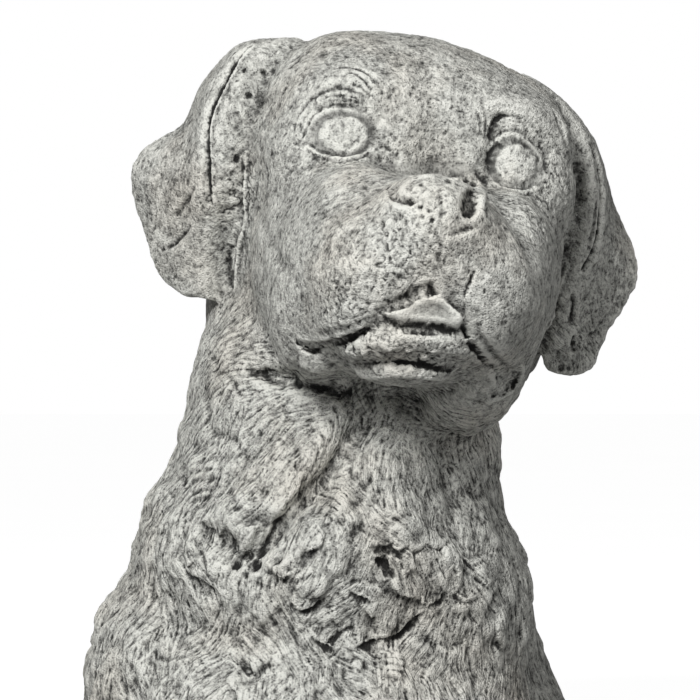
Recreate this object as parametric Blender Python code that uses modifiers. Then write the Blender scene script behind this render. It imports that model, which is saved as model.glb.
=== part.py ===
"""A bust of a young Labrador in cast stone: head, neck and the top of the chest, cut flat below.

It is one casting, so it is one solid. Everything is in metres with +Z up. The chest faces -Y,
the head is turned a little to +X, raised and tilted, and the origin is the middle of the flat
underside. The form is modelled the way clay is: round masses are melted into one another, the
ears are added as folded sheets, then the face, the folds of the hide and the tufts of fur are
pushed and cut into the surface.
"""
import math

import bmesh
import bpy
import numpy as np
from mathutils import Matrix, Vector
from mathutils.bvhtree import BVHTree

# Height of the bust, from its flat underside to the crown
HEIGHT = 0.250
# Pose and carving are shares of the height: one unit is a 250th of it, 1 mm on a 250 mm bust
UNIT = HEIGHT / 250

# The head's pose: the point between the eyes, in units, and its turn to +X, lift and tilt in degrees
EYES_AT = (28.4, -25.0, 204.6)
TURN = 8.0
LIFT = 12.0
TILT = 9.7

# Sizes of the modelling itself, in units
ROUGH_VOXEL = 3.0
FINE_VOXEL = 1.4
CAST_VOXEL = 1.2
MELT = 4.0
EAR_THICKNESS = 6.5
CAST_TRIANGLES = 12400

# The eyes are cut a little deep, so that they read from a step away
EYE_RELIEF = 1.3
# Fur tufts, in units
TUFT_SPACING = 9.5
TUFT_LENGTH = 17.0
TUFT_WIDTH = 6.5
TUFT_HEIGHT = 2.2
TUFT_EDGE = 0.8

STONE_COLOUR = (0.27, 0.275, 0.245, 1)
STONE_ROUGHNESS = 0.85


def clear_scene():
    for old in list(bpy.data.objects):
        bpy.data.objects.remove(old, do_unlink=True)


def unit_vector(v):
    return v / np.linalg.norm(v)


def head_frame():
    """Rows are the head's own directions: across to its left, forward along the muzzle, and up."""
    turn, lift, tilt = (math.radians(angle) for angle in (TURN, LIFT, TILT))
    across = np.array([math.cos(turn), math.sin(turn), 0])
    forward = np.array([math.sin(turn) * math.cos(lift), -math.cos(turn) * math.cos(lift), math.sin(lift)])
    up = -np.cross(across, forward)
    return np.array([across * math.cos(tilt) - up * math.sin(tilt), forward,
                     up * math.cos(tilt) + across * math.sin(tilt)])


HEAD = head_frame()
ACROSS, FORWARD, UP = HEAD


def on_head(across, forward, up):
    """A place measured from the point between the eyes, along the head's own directions."""
    return np.array(EYES_AT) + np.array([across, forward, up]) @ HEAD


class Mass:
    """An ellipsoid of clay with its middle and its half sizes, along its own axes."""

    def __init__(self, middle, half, axes=None, pitch=0.0):
        turn = np.array(Matrix.Rotation(math.radians(pitch), 3, "X")).T
        self.axes = turn if axes is None else turn @ axes
        self.middle = np.array(middle, float)
        self.half = np.array(half, float)

    def distance(self, points):
        local = (points - self.middle) @ self.axes.T
        near = np.linalg.norm(local / self.half, axis=1)
        slope = np.linalg.norm(local / self.half ** 2, axis=1)
        return near * (near - 1) / np.maximum(slope, 1e-6)

    def add_to(self, mesh):
        place = np.eye(4)
        place[:3, :3] = (self.axes * self.half[:, None]).T
        place[:3, 3] = self.middle
        bmesh.ops.create_icosphere(mesh, subdivisions=4, radius=1.0, matrix=Matrix(place.tolist()))


def head_mass(across, forward, up, *half, pitch=0.0):
    return [Mass(on_head(across, forward, up), half, HEAD, pitch)]


def head_pair(across, forward, up, *half):
    return head_mass(-across, forward, up, *half) + head_mass(across, forward, up, *half)


def head_masses():
    """The skull, muzzle and jaw: place across, forward and up from between the eyes, then half sizes."""
    return [
        *head_mass(-4, -48, 2, 56, 60, 50.5),               # cranium
        *head_mass(-29, -38, 13.5, 30, 40, 33),             # temple on the dog's right
        *head_mass(27, -42, 9, 29, 40, 34),               # temple on the dog's left
        *head_mass(0, -8, 6, 38, 20, 28),                 # forehead
        *head_pair(27, -6, 14, 22, 16, 13),               # brows
        *head_pair(33, -12, -6, 22, 20, 18),              # round the eyes
        *head_pair(34, -24, -36, 21, 38, 34),             # cheeks
        *head_pair(25, 10, -46, 23, 40, 33),              # sides of the muzzle where it starts
        *head_mass(-1, 34, -34, 21, 44, 15, pitch=-12),   # bridge of the muzzle
        *head_mass(-2.5, 65, -40, 17, 14, 13),            # nose
        *head_pair(19, 42, -59, 21, 30, 24),              # hanging lips
        *head_mass(0, 60, -52, 20, 15, 15),               # front of the muzzle
        *head_mass(-4, 30, -80.5, 20.5, 29, 11),          # lower jaw
        *head_mass(-3, -14, -66, 28, 32, 14),             # root of the jaw
        *head_mass(26.5, -12, -77.5, 17, 26, 18),         # angle of the jaw on the dog's left
        *head_mass(-32, 2, -64, 16, 30, 24),              # jowls
        *head_mass(29, 2, -64, 15, 30, 24),
        *head_mass(0, -88, 0, 38, 30, 34),                # back of the skull
        *head_pair(46, -62, -4, 17, 30, 36),              # roots of the ears
        *head_mass(-40, -84, -26, 25, 34, 46),            # stone left behind the ears
        *head_mass(36, -84, -29, 27, 34, 44),
    ]


def body_masses():
    """Neck, chest and shoulders: middle and half sizes in units."""
    return [
        Mass((7, 42, 160), (52, 54, 48)),        # nape
        Mass((-3, 34, 122), (50, 60, 44)),       # neck
        Mass((-22, 26, 112), (35, 46, 46)),
        Mass((-29, 24, 84), (34, 50, 38)),       # right side of the neck
        Mass((-44, 22, 62), (32, 44, 34)),
        Mass((3, 28, 96), (52, 60, 40)),
        Mass((-4, 3, 74), (44, 40, 44)),         # breast
        Mass((-8, 18, 55), (66, 66, 48)),
        Mass((19, 26, 40), (46, 58, 46)),
        Mass((-14, 22, -6), (80, 80, 60)),       # ribcage
        Mass((6, 72, 72), (50, 46, 64)),         # withers
        Mass((16, 82, 30), (52, 56, 60)),
        Mass((27, 88, -8), (54, 58, 50)),        # back
        Mass((-30, 66, -4), (56, 58, 58)),
        Mass((-62, 22, 15), (33, 46, 44)),       # right shoulder
    ]


def melted_distance(masses, points):
    """Distance to all the masses at once, with their meetings rounded off."""
    each = np.array([mass.distance(points) for mass in masses])
    nearest = each.min(0)
    return nearest - MELT * np.log(np.exp(-(each - nearest) / MELT).sum(0))


def vertex_values(mesh, name):
    values = np.empty(len(mesh.vertices) * 3, np.float32)
    mesh.vertices.foreach_get(name, values)
    return values.reshape(-1, 3).astype(float)


def set_vertices(mesh, places):
    mesh.vertices.foreach_set("co", places.astype(np.float32).ravel())
    mesh.update()


def new_object(name, bm):
    mesh = bpy.data.meshes.new(name)
    bm.to_mesh(mesh)
    bm.free()
    piece = bpy.data.objects.new(name, mesh)
    bpy.context.scene.collection.objects.link(piece)
    return piece


def apply_modifiers(piece):
    """Makes the evaluated mesh the object's own."""
    graph = bpy.context.evaluated_depsgraph_get()
    finished = bpy.data.meshes.new_from_object(piece.evaluated_get(graph))
    piece.modifiers.clear()
    before = piece.data
    piece.data = finished
    bpy.data.meshes.remove(before)


def remesh(piece, voxel):
    skin = piece.modifiers.new("skin", "REMESH")
    skin.mode = "VOXEL"
    skin.voxel_size = voxel * UNIT
    apply_modifiers(piece)


def relax(piece, times, weight=None):
    """Each vertex moves half way to the mean of its neighbours, or less where the weight is low."""
    mesh = piece.data
    places = vertex_values(mesh, "co")
    ends = np.empty(len(mesh.edges) * 2, np.int64)
    mesh.edges.foreach_get("vertices", ends)
    here, there = np.concatenate([ends[::2], ends[1::2]]), np.concatenate([ends[1::2], ends[::2]])
    count = np.maximum(np.bincount(here, minlength=len(places)), 1)
    share = 0.5 if weight is None else 0.5 * weight[:, None]
    for _ in range(times):
        total = [np.bincount(here, weights=places[there, axis], minlength=len(places)) for axis in range(3)]
        places = places + share * (np.array(total) / count - places.T).T
    set_vertices(mesh, places)


def rough_form(name, masses, steps=4):
    """One skin over all the masses, drawn on to their melted surface."""
    bm = bmesh.new()
    for mass in masses:
        mass.add_to(bm)
    bmesh.ops.scale(bm, vec=(UNIT, UNIT, UNIT), verts=bm.verts[:])
    piece = new_object(name, bm)
    remesh(piece, ROUGH_VOXEL)
    places = vertex_values(piece.data, "co") / UNIT
    reach = 0.5
    for _ in range(steps):
        gap = melted_distance(masses, places)
        ahead = [melted_distance(masses, places + reach * axis) for axis in np.eye(3)]
        slope = (np.stack(ahead, 1) - gap[:, None]) / reach
        steep = np.maximum(np.linalg.norm(slope, axis=1, keepdims=True), 0.2)
        places -= slope / steep * np.clip(gap[:, None] / steep, -2 * ROUGH_VOXEL, 2 * ROUGH_VOXEL)
    set_vertices(piece.data, places * UNIT)
    return piece


# Each ear is a sheet over four lines that run from its root to its tip: the front edge on the
# cheek, the fold, the valley behind the fold, and the free back edge. Every row is one step down
# the ear, with its four places (x, y, z) in units.
RIGHT_EAR = (
    ((-13.9, 34, 236.2), (-20.4, 34, 237.6), (-23.4, 40, 236.4), (-26.4, 48, 234.5)),
    ((-17.1, 20, 246.5), (-31.5, 14, 245.9), (-35.3, 25, 245.3), (-38.7, 38, 244)),
    ((-18.8, 11, 241.8), (-39.3, 6, 240.8), (-41.7, 20, 240.3), (-43.1, 39, 239.3)),
    ((-21.7, 8, 235.1), (-42.9, 2, 234.9), (-45.3, 15, 235), (-48.6, 40, 234.9)),
    ((-24.5, 5, 227.1), (-47.5, 0, 226.9), (-50.3, 14, 227), (-53.4, 42, 227.7)),
    ((-29.9, 3, 218.7), (-50, -2, 218.5), (-52.5, 13, 218.7), (-56.4, 42, 219.7)),
    ((-34.2, 3, 210.8), (-51.1, -3, 210.6), (-53.5, 12, 211), (-60.8, 42, 212)),
    ((-36.8, 4, 203.6), (-51.4, -3, 203.4), (-55, 11, 203.8), (-74.2, 40, 207.5)),
    ((-37.2, 6, 195.3), (-51.1, -2, 195.2), (-55.6, 9, 195.4), (-79.3, 38, 199.1)),
    ((-37.6, 8, 186.7), (-49.7, 2, 187.3), (-55.6, 8, 187.1), (-77.1, 37, 187.3)),
    ((-38.3, 10, 177.4), (-48.4, 8, 178.1), (-55, 11, 178.1), (-73.4, 36, 178.6)),
    ((-39.8, 13, 168), (-47.4, 12, 168.7), (-54.3, 13, 168.7), (-71.5, 33, 169.7)),
    ((-41.3, 16, 159.4), (-46.7, 15, 159.4), (-53.6, 15, 159.4), (-67.4, 30, 158)),
    ((-42.5, 20, 152.5), (-47.5, 19, 152.9), (-52.9, 18, 153.6), (-58.8, 22, 153.2)),
)
LEFT_EAR = (
    ((55, 48, 224.3), (59.8, 46, 224.2), (62.6, 56, 223.1), (64.3, 68, 222)),
    ((58.3, 32, 236.8), (66.1, 24, 232.1), (68.8, 40, 230.2), (71.1, 60, 228)),
    ((64.7, 26, 228.6), (73.6, 18, 223.6), (76.3, 36, 222.4), (79.6, 60, 220.3)),
    ((72.6, 22, 219.7), (82.9, 14, 213.6), (84.3, 34, 213.2), (85.9, 60, 212.2)),
    ((77.7, 22, 208.1), (87.2, 12, 205.3), (88.6, 33, 205.1), (89.9, 60, 204)),
    ((80.3, 24, 197.6), (89, 12, 195.5), (90.1, 33, 195.3), (92.5, 59, 194.8)),
    ((80.4, 26, 188.6), (88.7, 14, 186.5), (90.1, 33, 186.2), (94.7, 58, 185.9)),
    ((79, 28, 178.4), (87.7, 17, 177.5), (90.5, 34, 177.1), (99.7, 56, 177.4)),
    ((76.9, 30, 166.1), (84.6, 22, 166.7), (89.8, 36, 166.1), (104.4, 53, 166.4)),
    ((74.7, 31, 157.7), (81.8, 25, 158.7), (88.4, 36, 158.1), (105.1, 51, 158.2)),
    ((72.6, 33, 148.6), (79, 29, 148.6), (86.6, 37, 148.6), (97.9, 47, 148.7)),
    ((70.8, 35, 137.7), (76.6, 33, 136.9), (83.3, 38, 136.2), (91.6, 45, 136.9)),
    ((70.5, 37, 126.7), (75.2, 36, 124.9), (80.8, 38, 124.1), (89.3, 42, 126.7)),
)


def ear(name, rows):
    """A coarse cage over the rows, subdivided and given the ear's thickness."""
    bm = bmesh.new()
    lines = len(rows[0])
    bmesh.ops.create_grid(bm, x_segments=lines - 1, y_segments=len(rows) - 1, size=1.0)
    corners = sorted(bm.verts, key=lambda v: (round(v.co.y, 4), round(v.co.x, 4)))
    for index, corner in enumerate(corners):
        corner.co = Vector(rows[index // lines][index % lines]) * UNIT
    sheet = new_object(name, bm)
    rounding = sheet.modifiers.new("rounding", "SUBSURF")
    rounding.levels = rounding.render_levels = 3
    rounding.boundary_smooth = "PRESERVE_CORNERS"
    body = sheet.modifiers.new("thickness", "SOLIDIFY")
    body.thickness = EAR_THICKNESS * UNIT
    body.offset = 0
    apply_modifiers(sheet)
    return sheet


def join(piece, others):
    """Adds the others' meshes to the piece; the next remesh makes them one body."""
    bm = bmesh.new()
    for source in (piece, *others):
        bm.from_mesh(source.data)
    bm.to_mesh(piece.data)
    bm.free()
    for source in others:
        bpy.data.objects.remove(source)


def smooth_path(points, parts=8):
    """A Catmull-Rom curve through the points."""
    p = np.array(points, float)
    p = np.vstack([2 * p[0] - p[1], p, 2 * p[-1] - p[-2]])
    t = (np.arange(parts) / parts)[:, None]
    runs = [
        0.5 * (2 * b + (c - a) * t + (2 * a - 5 * b + 4 * c - d) * t ** 2 + (3 * b - a - 3 * c + d) * t ** 3)
        for a, b, c, d in zip(p, p[1:], p[2:], p[3:])
    ]
    return np.vstack([*runs, p[-2:-1]])


def along(path, points):
    """How far each point is from the path, its share of the way along, and whether it is above."""
    away = np.full(len(points), np.inf)
    share = np.zeros(len(points))
    above = np.zeros(len(points))
    lengths = np.linalg.norm(np.diff(path, axis=0), axis=1)
    done = 0.0
    for start, end, length in zip(path, path[1:], lengths):
        run = end - start
        t = np.clip((points - start) @ run / max(length ** 2, 1e-9), 0, 1)
        off = points - start - t[:, None] * run
        distance = np.linalg.norm(off, axis=1)
        closer = distance < away
        away[closer] = distance[closer]
        share[closer] = (done + t * length)[closer] / lengths.sum()
        above[closer] = (run[0] * off[:, 2] - run[2] * off[:, 0])[closer]
        done += length
    return away, share, above > 0


def bell(x):
    return np.exp(-x ** 2)


def step(x, sharpness):
    """Goes from 0 to 1 as x passes zero."""
    return 1 / (1 + np.exp(-np.clip(x * sharpness, -60, 60)))


class Clay:
    """The soft surface, in units: strokes, dabs and tufts move its vertices."""

    def __init__(self, piece):
        self.piece = piece
        self.look_again()

    def look_again(self):
        """Reads the surface as it is now, so that the next strokes land on it."""
        self.places = vertex_values(self.piece.data, "co") / UNIT
        self.facing = vertex_values(self.piece.data, "normal")
        bm = bmesh.new()
        bm.from_mesh(self.piece.data)
        bmesh.ops.scale(bm, vec=(1 / UNIT, 1 / UNIT, 1 / UNIT), verts=bm.verts[:])
        self.tree = BVHTree.FromBMesh(bm)
        bm.free()

    def settle(self):
        set_vertices(self.piece.data, self.places * UNIT)
        self.facing = vertex_values(self.piece.data, "normal")

    def front(self, points):
        """Places (x, z) seen from the front, carried back on to the surface."""
        start = -400.0
        hits = [self.tree.ray_cast(Vector((x, start, z)), Vector((0, 1, 0)))[0] for x, z in points]
        return np.array(hits, float)

    def stroke(self, points, width, height, taper=0.5, under=None, way=None):
        """Raises a band along a line seen from the front, or cuts it where the height is negative.

        Where under is given, its height and width hold for the side below the line.
        """
        path = smooth_path(self.front(points))
        reach = 3 * width
        low, high = path.min(0) - reach, path.max(0) + reach
        near = np.where(((self.places > low) & (self.places < high)).all(1))[0]
        away, share, above = along(path, self.places[near])
        amount = height * bell(away / width)
        if under is not None:
            amount = np.where(above, amount, under[0] * bell(away / under[1]))
        amount *= np.sin(np.pi * share).clip(0, 1) ** taper
        self.places[near] += (self.facing[near] if way is None else np.array(way)) * amount[:, None]
        self.settle()

    def dab(self, middle, half, move):
        """Moves a round patch of the head, with its half sizes along the head's directions."""
        local = (self.places - middle) @ HEAD.T / np.array(half, float)
        self.places += (1 - (local ** 2).sum(1)).clip(0, 1)[:, None] ** 2 * move
        self.settle()

    def relax(self, times, middle, radius):
        away = np.linalg.norm(self.places - middle, axis=1) / radius
        relax(self.piece, times, (1.5 - 1.5 * away).clip(0, 1))
        self.look_again()

    def tufts(self, roots, tips, widths, heights):
        """Overlapping tufts: each rises from its root and ends at its tip in a step."""
        rise = np.zeros(len(self.places))
        for root, tip, width, height in zip(roots, tips, widths, heights):
            length = np.linalg.norm(tip - root)
            lie = (tip - root) / length
            inside = ((self.places - (root + tip) / 2) ** 2).sum(1) < (0.75 * length + width) ** 2
            near = np.where(inside)[0]
            from_root = self.places[near] - root
            t = from_root @ lie / length
            off = np.linalg.norm(from_root - np.outer(t * length, lie), axis=1)
            pointed = 1 - 0.75 * t.clip(0, 1) ** 2.5
            half = width * pointed * (0.5 + 2 * t).clip(0.35, 1)
            crown = (1 - (off / half) ** 2).clip(0, 1) ** 0.6
            swell = t.clip(0, 1) ** 0.6 * ((1.04 - t) * length / TUFT_EDGE).clip(0, 1)
            rise[near] = np.maximum(rise[near], height * crown * swell)
        self.places += self.facing * rise[:, None]
        self.settle()


def shape_brow_and_cheeks(clay):
    clay.dab(on_head(0, 14, -6), (13, 20, 20), -4.0 * FORWARD)
    for side in (-1, 1):
        clay.dab(on_head(side * 17, 18, -16), (11, 18, 13), -3.0 * FORWARD - side * ACROSS)
        clay.dab(on_head(side * 27, 6, 17), (19, 14, 9), 2.6 * FORWARD + 1.5 * UP)
        clay.dab(on_head(side * 12, 4, 14), (9, 12, 16), 1.2 * FORWARD)
    clay.look_again()
    middle_of_brow = ((29.2, 209.6), (28.1, 220.4), (26.6, 233), (25.2, 242))
    clay.stroke(middle_of_brow, 4.0, -1.2, taper=0.6)
    beside_muzzle = ((49, 195.2), (54, 185.8), (59.8, 174.3), (63, 165), (64.8, 152))
    clay.stroke(beside_muzzle, 8.5, -3.4, taper=0.6, under=(-3.4, 2.6))
    cheek_edge = ((-31.7, 183.7), (-28.8, 173.6), (-24.5, 165), (-16.6, 157))
    clay.stroke(cheek_edge, 3.0, -1.4, taper=0.8)
    inner_corner = ((59, 219.7), (54.7, 217.5), (52.2, 213.2), (50.8, 206), (50.8, 198.1), (51.8, 193.8))
    clay.stroke(inner_corner, 3.0, -3.0)
    brow_line = ((-4.3, 236.2), (0.7, 237), (5.8, 234.8), (9.4, 230.5))
    clay.stroke(brow_line, 1.8, -1.4)
    clay.relax(3, on_head(0, 10, -10), 60)


def local_frame(facing):
    """Directions to the side and up on a patch of the head that faces that way."""
    sideways = unit_vector(np.cross(facing, UP))
    sideways *= np.sign(sideways @ ACROSS)
    upwards = np.cross(facing, sideways)
    return sideways, upwards * np.sign(upwards @ UP)


def shape_eye(clay, side, place):
    """A low blank ball in an almond opening, with a raised disc for the iris, between two lids."""
    turned_out = math.radians(24)
    facing = unit_vector(FORWARD * math.cos(turned_out) + side * ACROSS * math.sin(turned_out) + 0.06 * UP)
    outwards, upwards = local_frame(facing)
    outwards = outwards * side
    middle = clay.front([place])[0]
    local = clay.places - middle
    u, v, depth = local @ outwards, local @ upwards, local @ facing
    near = (np.hypot(u, v) < 27) & (np.abs(depth) < 22)
    u, v = u[near], v[near]

    half_length = np.where(u > 0, 15.5, 11.5)
    slant = np.where(u > 0, -0.16, 0.05) * u
    bow = (1 - (u / half_length) ** 2).clip(0, 1) ** 0.7
    within = np.minimum(9.2 * bow - (v - slant), (v - slant) + 9.0 * bow)
    past_corner = (np.abs(u) - half_length).clip(0)
    within = np.where(past_corner > 0, -np.hypot(past_corner, v - slant), within)
    upper = v > slant

    from_iris = np.hypot((u + 0.6) / 8.6, (v - 0.2) / 6.6) - 1
    ball = 2.6 * (within / 7).clip(0, 1) ** 0.7 - 1.6
    ball += 1.1 * step(-from_iris, 16) - 0.6 * bell((from_iris - 0.14) / 0.1)
    lid = np.where(upper, 2.0, 1.5) * bell((within + np.where(upper, 1.6, 1.2)) / np.where(upper, 1.7, 1.1))
    crease = np.where(upper, -1.5, -0.9) * bell((within + np.where(upper, 4.8, 3.3)) / 0.9)
    second_fold = np.where(upper, 0.8, 0) * bell((within + 7.0) / 1.4)
    fade = ((25 - np.hypot(u / 1.1, v)) / 8).clip(0, 1)
    opening = step(within - 0.1, 3.5)
    amount = ball * opening + (lid + crease + second_fold) * fade * (1 - opening)
    clay.places[near] += EYE_RELIEF * amount[:, None] * facing
    clay.settle()


def shape_nose(clay):
    """The nose leather: a low rounded pad with two comma nostrils and a groove between them."""
    facing = unit_vector(FORWARD + 0.1 * UP)
    sideways, upwards = local_frame(facing)
    local = clay.places - on_head(-3, 78, -38.5)
    u, v, depth = local @ sideways, local @ upwards, local @ facing
    near = (np.abs(u) < 26) & (np.abs(v) < 20) & (depth > -22) & (depth < 14)
    u, v = u[near], v[near]
    half_width = 18.2 - 0.12 * (v - 2)
    sagging = v - 0.3 - 0.012 * u * u * (v < 0)
    outline = (np.abs(u / half_width) ** 3 + np.abs(sagging / 10.8) ** 3) ** (1 / 3) - 1
    amount = 2.4 * step(-outline, 14) - 1.2 * bell((outline - 0.13) / 0.09)
    amount -= 1.5 * bell(u) * ((2 - v) / 3).clip(0, 1)
    for side in (-1, 1):
        out = side * u
        amount += 1.6 * bell(np.hypot((out - 15.2) / 3.2, (v + 0.5) / 5.5))
        amount -= 5.0 * bell(np.hypot((out - 11.8) / 3.0, (v - 0.2 + 0.10 * (out - 11)) / 2.7))
        amount -= 2.2 * bell(np.hypot((out - 15.6) / 3.0, (v + 3.6 + 0.25 * (out - 15)) / 1.2))
    clay.places[near] += amount[:, None] * facing
    clay.settle()


def shape_mouth(clay):
    """Hanging lips, the tongue on the lower lip, the chin, and the gaps that are cut between them."""
    inwards = -FORWARD
    parting_of_lip = ((29.8, 173.5), (30.9, 168.7), (29.8, 161.7), (28.4, 156.9))
    clay.stroke(parting_of_lip, 1.3, -1.5, taper=0.2)
    swells = (
        (((32, 157), (22.6, 153.8), (13.2, 150.3), (3.5, 146.2), (-7, 141.7), (-17.4, 138.9)), 6.0, 1.2),
        (((41.8, 149.3), (46.7, 142.4), (52.3, 135.4), (58.5, 129.8)), 5.0, 1.2),
        (((-15.3, 139.9), (-9, 142.7), (-2.8, 145.5), (4.2, 148.3)), 4.2, 1.6),
        (((-1.7, 132.6), (6.3, 135.7), (15.6, 137.8), (26.1, 137.8), (34.8, 135.4), (41, 131.9)), 4.4, 3.2),
        (((3.5, 126.7), (14.6, 128.1), (25.8, 127.7), (34.2, 125.6)), 3.2, 3.8),
        (((-17.6, 130.5), (-11.9, 128.7), (-6.3, 129.1)), 4.8, 2.6),
    )
    for line, width, height in swells:
        clay.stroke(line, width, height, taper=0.4)
    clay.look_again()
    gaps = (
        (((-18.5, 136.8), (-13.9, 135.7), (-9.1, 135.4), (-1.7, 137.1), (5.6, 141.3)), 1.7, 4.6),
        (((39, 142.4), (41.8, 137.1), (45.3, 133), (49.5, 128.8), (55.1, 125.6)), 1.8, 4.2),
        (((-1.7, 129.8), (5.6, 129.8), (13.9, 130.5), (20.9, 130.2), (27.9, 128.8), (35.5, 126.7)), 1.5, 2.8),
        (((-1.4, 135.4), (-2.5, 131.2), (-1.4, 126.3), (0.7, 122.1)), 1.8, 2.6),
        (((0.7, 121.1), (8.7, 119.3), (17.5, 118.6), (26.2, 119.3), (34.3, 121.1), (39.2, 123.5)), 2.8, 4.0),
        (((26.4, 157.6), (28.1, 154.8), (29.2, 152.8)), 2.2, 3.6),
    )
    for line, width, depth in gaps:
        clay.stroke(line, width, depth, taper=0.3, way=inwards)
    clay.look_again()
    tongue = ((13.9, 144.8), (18.8, 146.5), (24.3, 147.5), (30.6, 147.2), (35.4, 145.5), (38.2, 142.7))
    clay.stroke(tongue, 3.4, 5.0, taper=0.3, way=FORWARD)
    clay.look_again()
    under_tongue = ((15.3, 142.3), (22.2, 140.9), (29.2, 139.9), (36.1, 140.3))
    clay.stroke(under_tongue, 1.4, 3.6, taper=0.4, way=inwards)
    clay.look_again()
    right_corner = ((-35.3, 126.8), (-28.8, 125.4), (-23, 123.9), (-18, 126.1))
    clay.stroke(right_corner, 2.6, -4.0, taper=0.6)
    left_corner = ((51.8, 127.2), (55.4, 123.9), (59, 123.2))
    clay.stroke(left_corner, 3.0, 3.5, taper=0.4, way=inwards)
    clay.relax(1, on_head(0, 50, -78), 45)


def shape_ears(clay):
    behind_right_fold = (
        (-38.2, 242), (-42.1, 235.5), (-46.1, 229), (-49, 221.1), (-51.1, 212.5), (-51.5, 204.2),
        (-51.1, 193.8), (-49.7, 185.8),
    )
    clay.stroke(behind_right_fold, 2.0, -2.8, taper=0.4)
    right_hollow = ((-60.2, 192.1), (-60.2, 186.6), (-61.7, 179.7), (-66, 171))
    clay.stroke(right_hollow, 4.0, -2.2, taper=0.6)
    right_valley = ((-46.1, 185.8), (-45.4, 173.6), (-46.1, 161), (-47.9, 152))
    clay.stroke(right_valley, 4.5, -3.0)
    behind_left_fold = (
        (87.8, 210.2), (90.7, 199.3), (91.8, 192.1), (91.1, 184.1), (90, 176.8), (87.5, 168.8),
        (84.2, 162.3),
    )
    clay.stroke(behind_left_fold, 2.2, -3.0, taper=0.4)
    beside_left_cheek = (
        (78, 210.2), (81.3, 200.4), (81.6, 189.2), (79.8, 179.7), (78, 166.7), (74.8, 155.8),
        (72.2, 144.2), (71.1, 134),
    )
    clay.stroke(beside_left_cheek, 2.2, -3.0, taper=0.4)
    clay.look_again()


def shape_hide(clay):
    """Folds of skin and fur on the throat, neck and chest."""
    under_jaw = (
        (8.6, 117.8), (5.4, 111.7), (-1.1, 102.3), (-10.1, 89.4), (-18, 80.7), (-26.6, 71), (-36, 63.8),
        (-44.6, 65.6), (-52.6, 72.1),
    )
    clay.stroke(under_jaw, 5.0, -5.2, under=(-5.2, 3.0))
    over_valley = ((0.7, 114.6), (-7.2, 101.6), (-18, 89.4), (-28.1, 79.3))
    clay.stroke(over_valley, 5.5, 2.6, taper=0.6)
    neck_swell = ((-26.6, 117.8), (-21.6, 105.2), (-26.6, 90.8), (-39.6, 76.4), (-52.2, 69.2))
    clay.stroke(neck_swell, 9.0, 3.0, taper=0.7)
    throat = ((5.8, 107), (12.6, 90.8), (17.3, 72.8), (18.7, 58.4))
    clay.stroke(throat, 8.0, 3.4, taper=0.6)
    breast = ((-3.6, 80), (-10.1, 63.8), (-18, 44))
    clay.stroke(breast, 8.0, 2.6, taper=0.7)
    beside_throat = ((32.4, 107), (34.6, 94.4), (36, 80), (32.4, 65.6))
    clay.stroke(beside_throat, 5.0, -3.2, taper=0.6)
    left_swell = ((43.2, 105.2), (46.8, 87.2), (49, 65.6), (46.8, 44))
    clay.stroke(left_swell, 8.0, 2.0, taper=0.7)
    neck_step = ((-53.3, 72.1), (-47.2, 69.9), (-39.6, 63.8), (-31.7, 58.4))
    clay.stroke(neck_step, 3.0, -3.0)
    chest_edge = ((3.2, 29.6), (11.9, 31.4), (19.8, 35), (25.2, 38.6), (29.5, 41.8))
    clay.stroke(chest_edge, 2.4, -2.6, taper=0.4)
    shoulder_curl = ((-38.9, 23.8), (-34.6, 18.8), (-30.6, 21.7), (-27, 22))
    clay.stroke(shoulder_curl, 2.0, -2.6, taper=0.4)
    clay.look_again()


THROAT = np.array((6, -24, 120))


def lie_of_fur(places):
    """Away from the throat near the jaw, then down with a slow wave."""
    away = (places - THROAT) * (1, 0.4, 1)
    reach = np.linalg.norm(away, axis=1, keepdims=True)
    near = bell(reach / 62)
    lie = 2.6 * near * away / reach + (1 - 0.9 * near) * np.array([-0.06, 0, -1.0])
    lie[:, 0] += 0.5 * np.sin(places[:, 2] * 0.10 + places[:, 0] * 0.06)
    lie[:, 0] += 0.4 * np.sin(places[:, 0] * 0.15 - places[:, 2] * 0.05 + 2)
    return lie


def depth_of_fur(places):
    """From 0 on the head to 1 on the front of the chest; the back is smoother."""
    x, y, z = places.T
    return ((104 - z - 0.15 * x) / 16).clip(0, 1) * ((78 - y) / 40).clip(0.35, 1)


def spread(places, spacing, order):
    """Picks places in that order, each at least the spacing from those already picked."""
    waiting = places[order]
    free = np.ones(len(order), bool)
    picked = []
    for turn, index in enumerate(order):
        if free[turn]:
            picked.append(index)
            free &= ((waiting - places[index]) ** 2).sum(1) > spacing ** 2
    return np.array(picked)


def shape_fur(clay, seed=5):
    """Tufts spread over the chest and neck, each lying along the coat."""
    random = np.random.default_rng(seed)
    depth = depth_of_fur(clay.places)
    picked = spread(clay.places, TUFT_SPACING, random.permutation(np.where(depth > 0.02)[0]))
    roots, facing = clay.places[picked], clay.facing[picked]
    lie = lie_of_fur(roots) + random.normal(0, 0.28, roots.shape)
    lie -= facing * (lie * facing).sum(1, keepdims=True)
    lie /= np.linalg.norm(lie, axis=1, keepdims=True)
    reach = roots + lie * TUFT_LENGTH * random.uniform(0.75, 1.3, (len(roots), 1))
    tips = np.array([clay.tree.find_nearest(Vector(tip))[0] for tip in reach])
    widths = TUFT_WIDTH * random.uniform(0.7, 1.25, len(roots))
    heights = TUFT_HEIGHT * depth[picked] * random.uniform(0.6, 1.2, len(roots))
    clay.tufts(roots, tips, widths, heights)


def lighten(piece, triangles):
    """Fewer, larger faces where the form is plain."""
    fewer = piece.modifiers.new("fewer", "DECIMATE")
    fewer.ratio = triangles / (2 * len(piece.data.polygons))
    fewer.use_collapse_triangulate = True
    apply_modifiers(piece)


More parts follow.
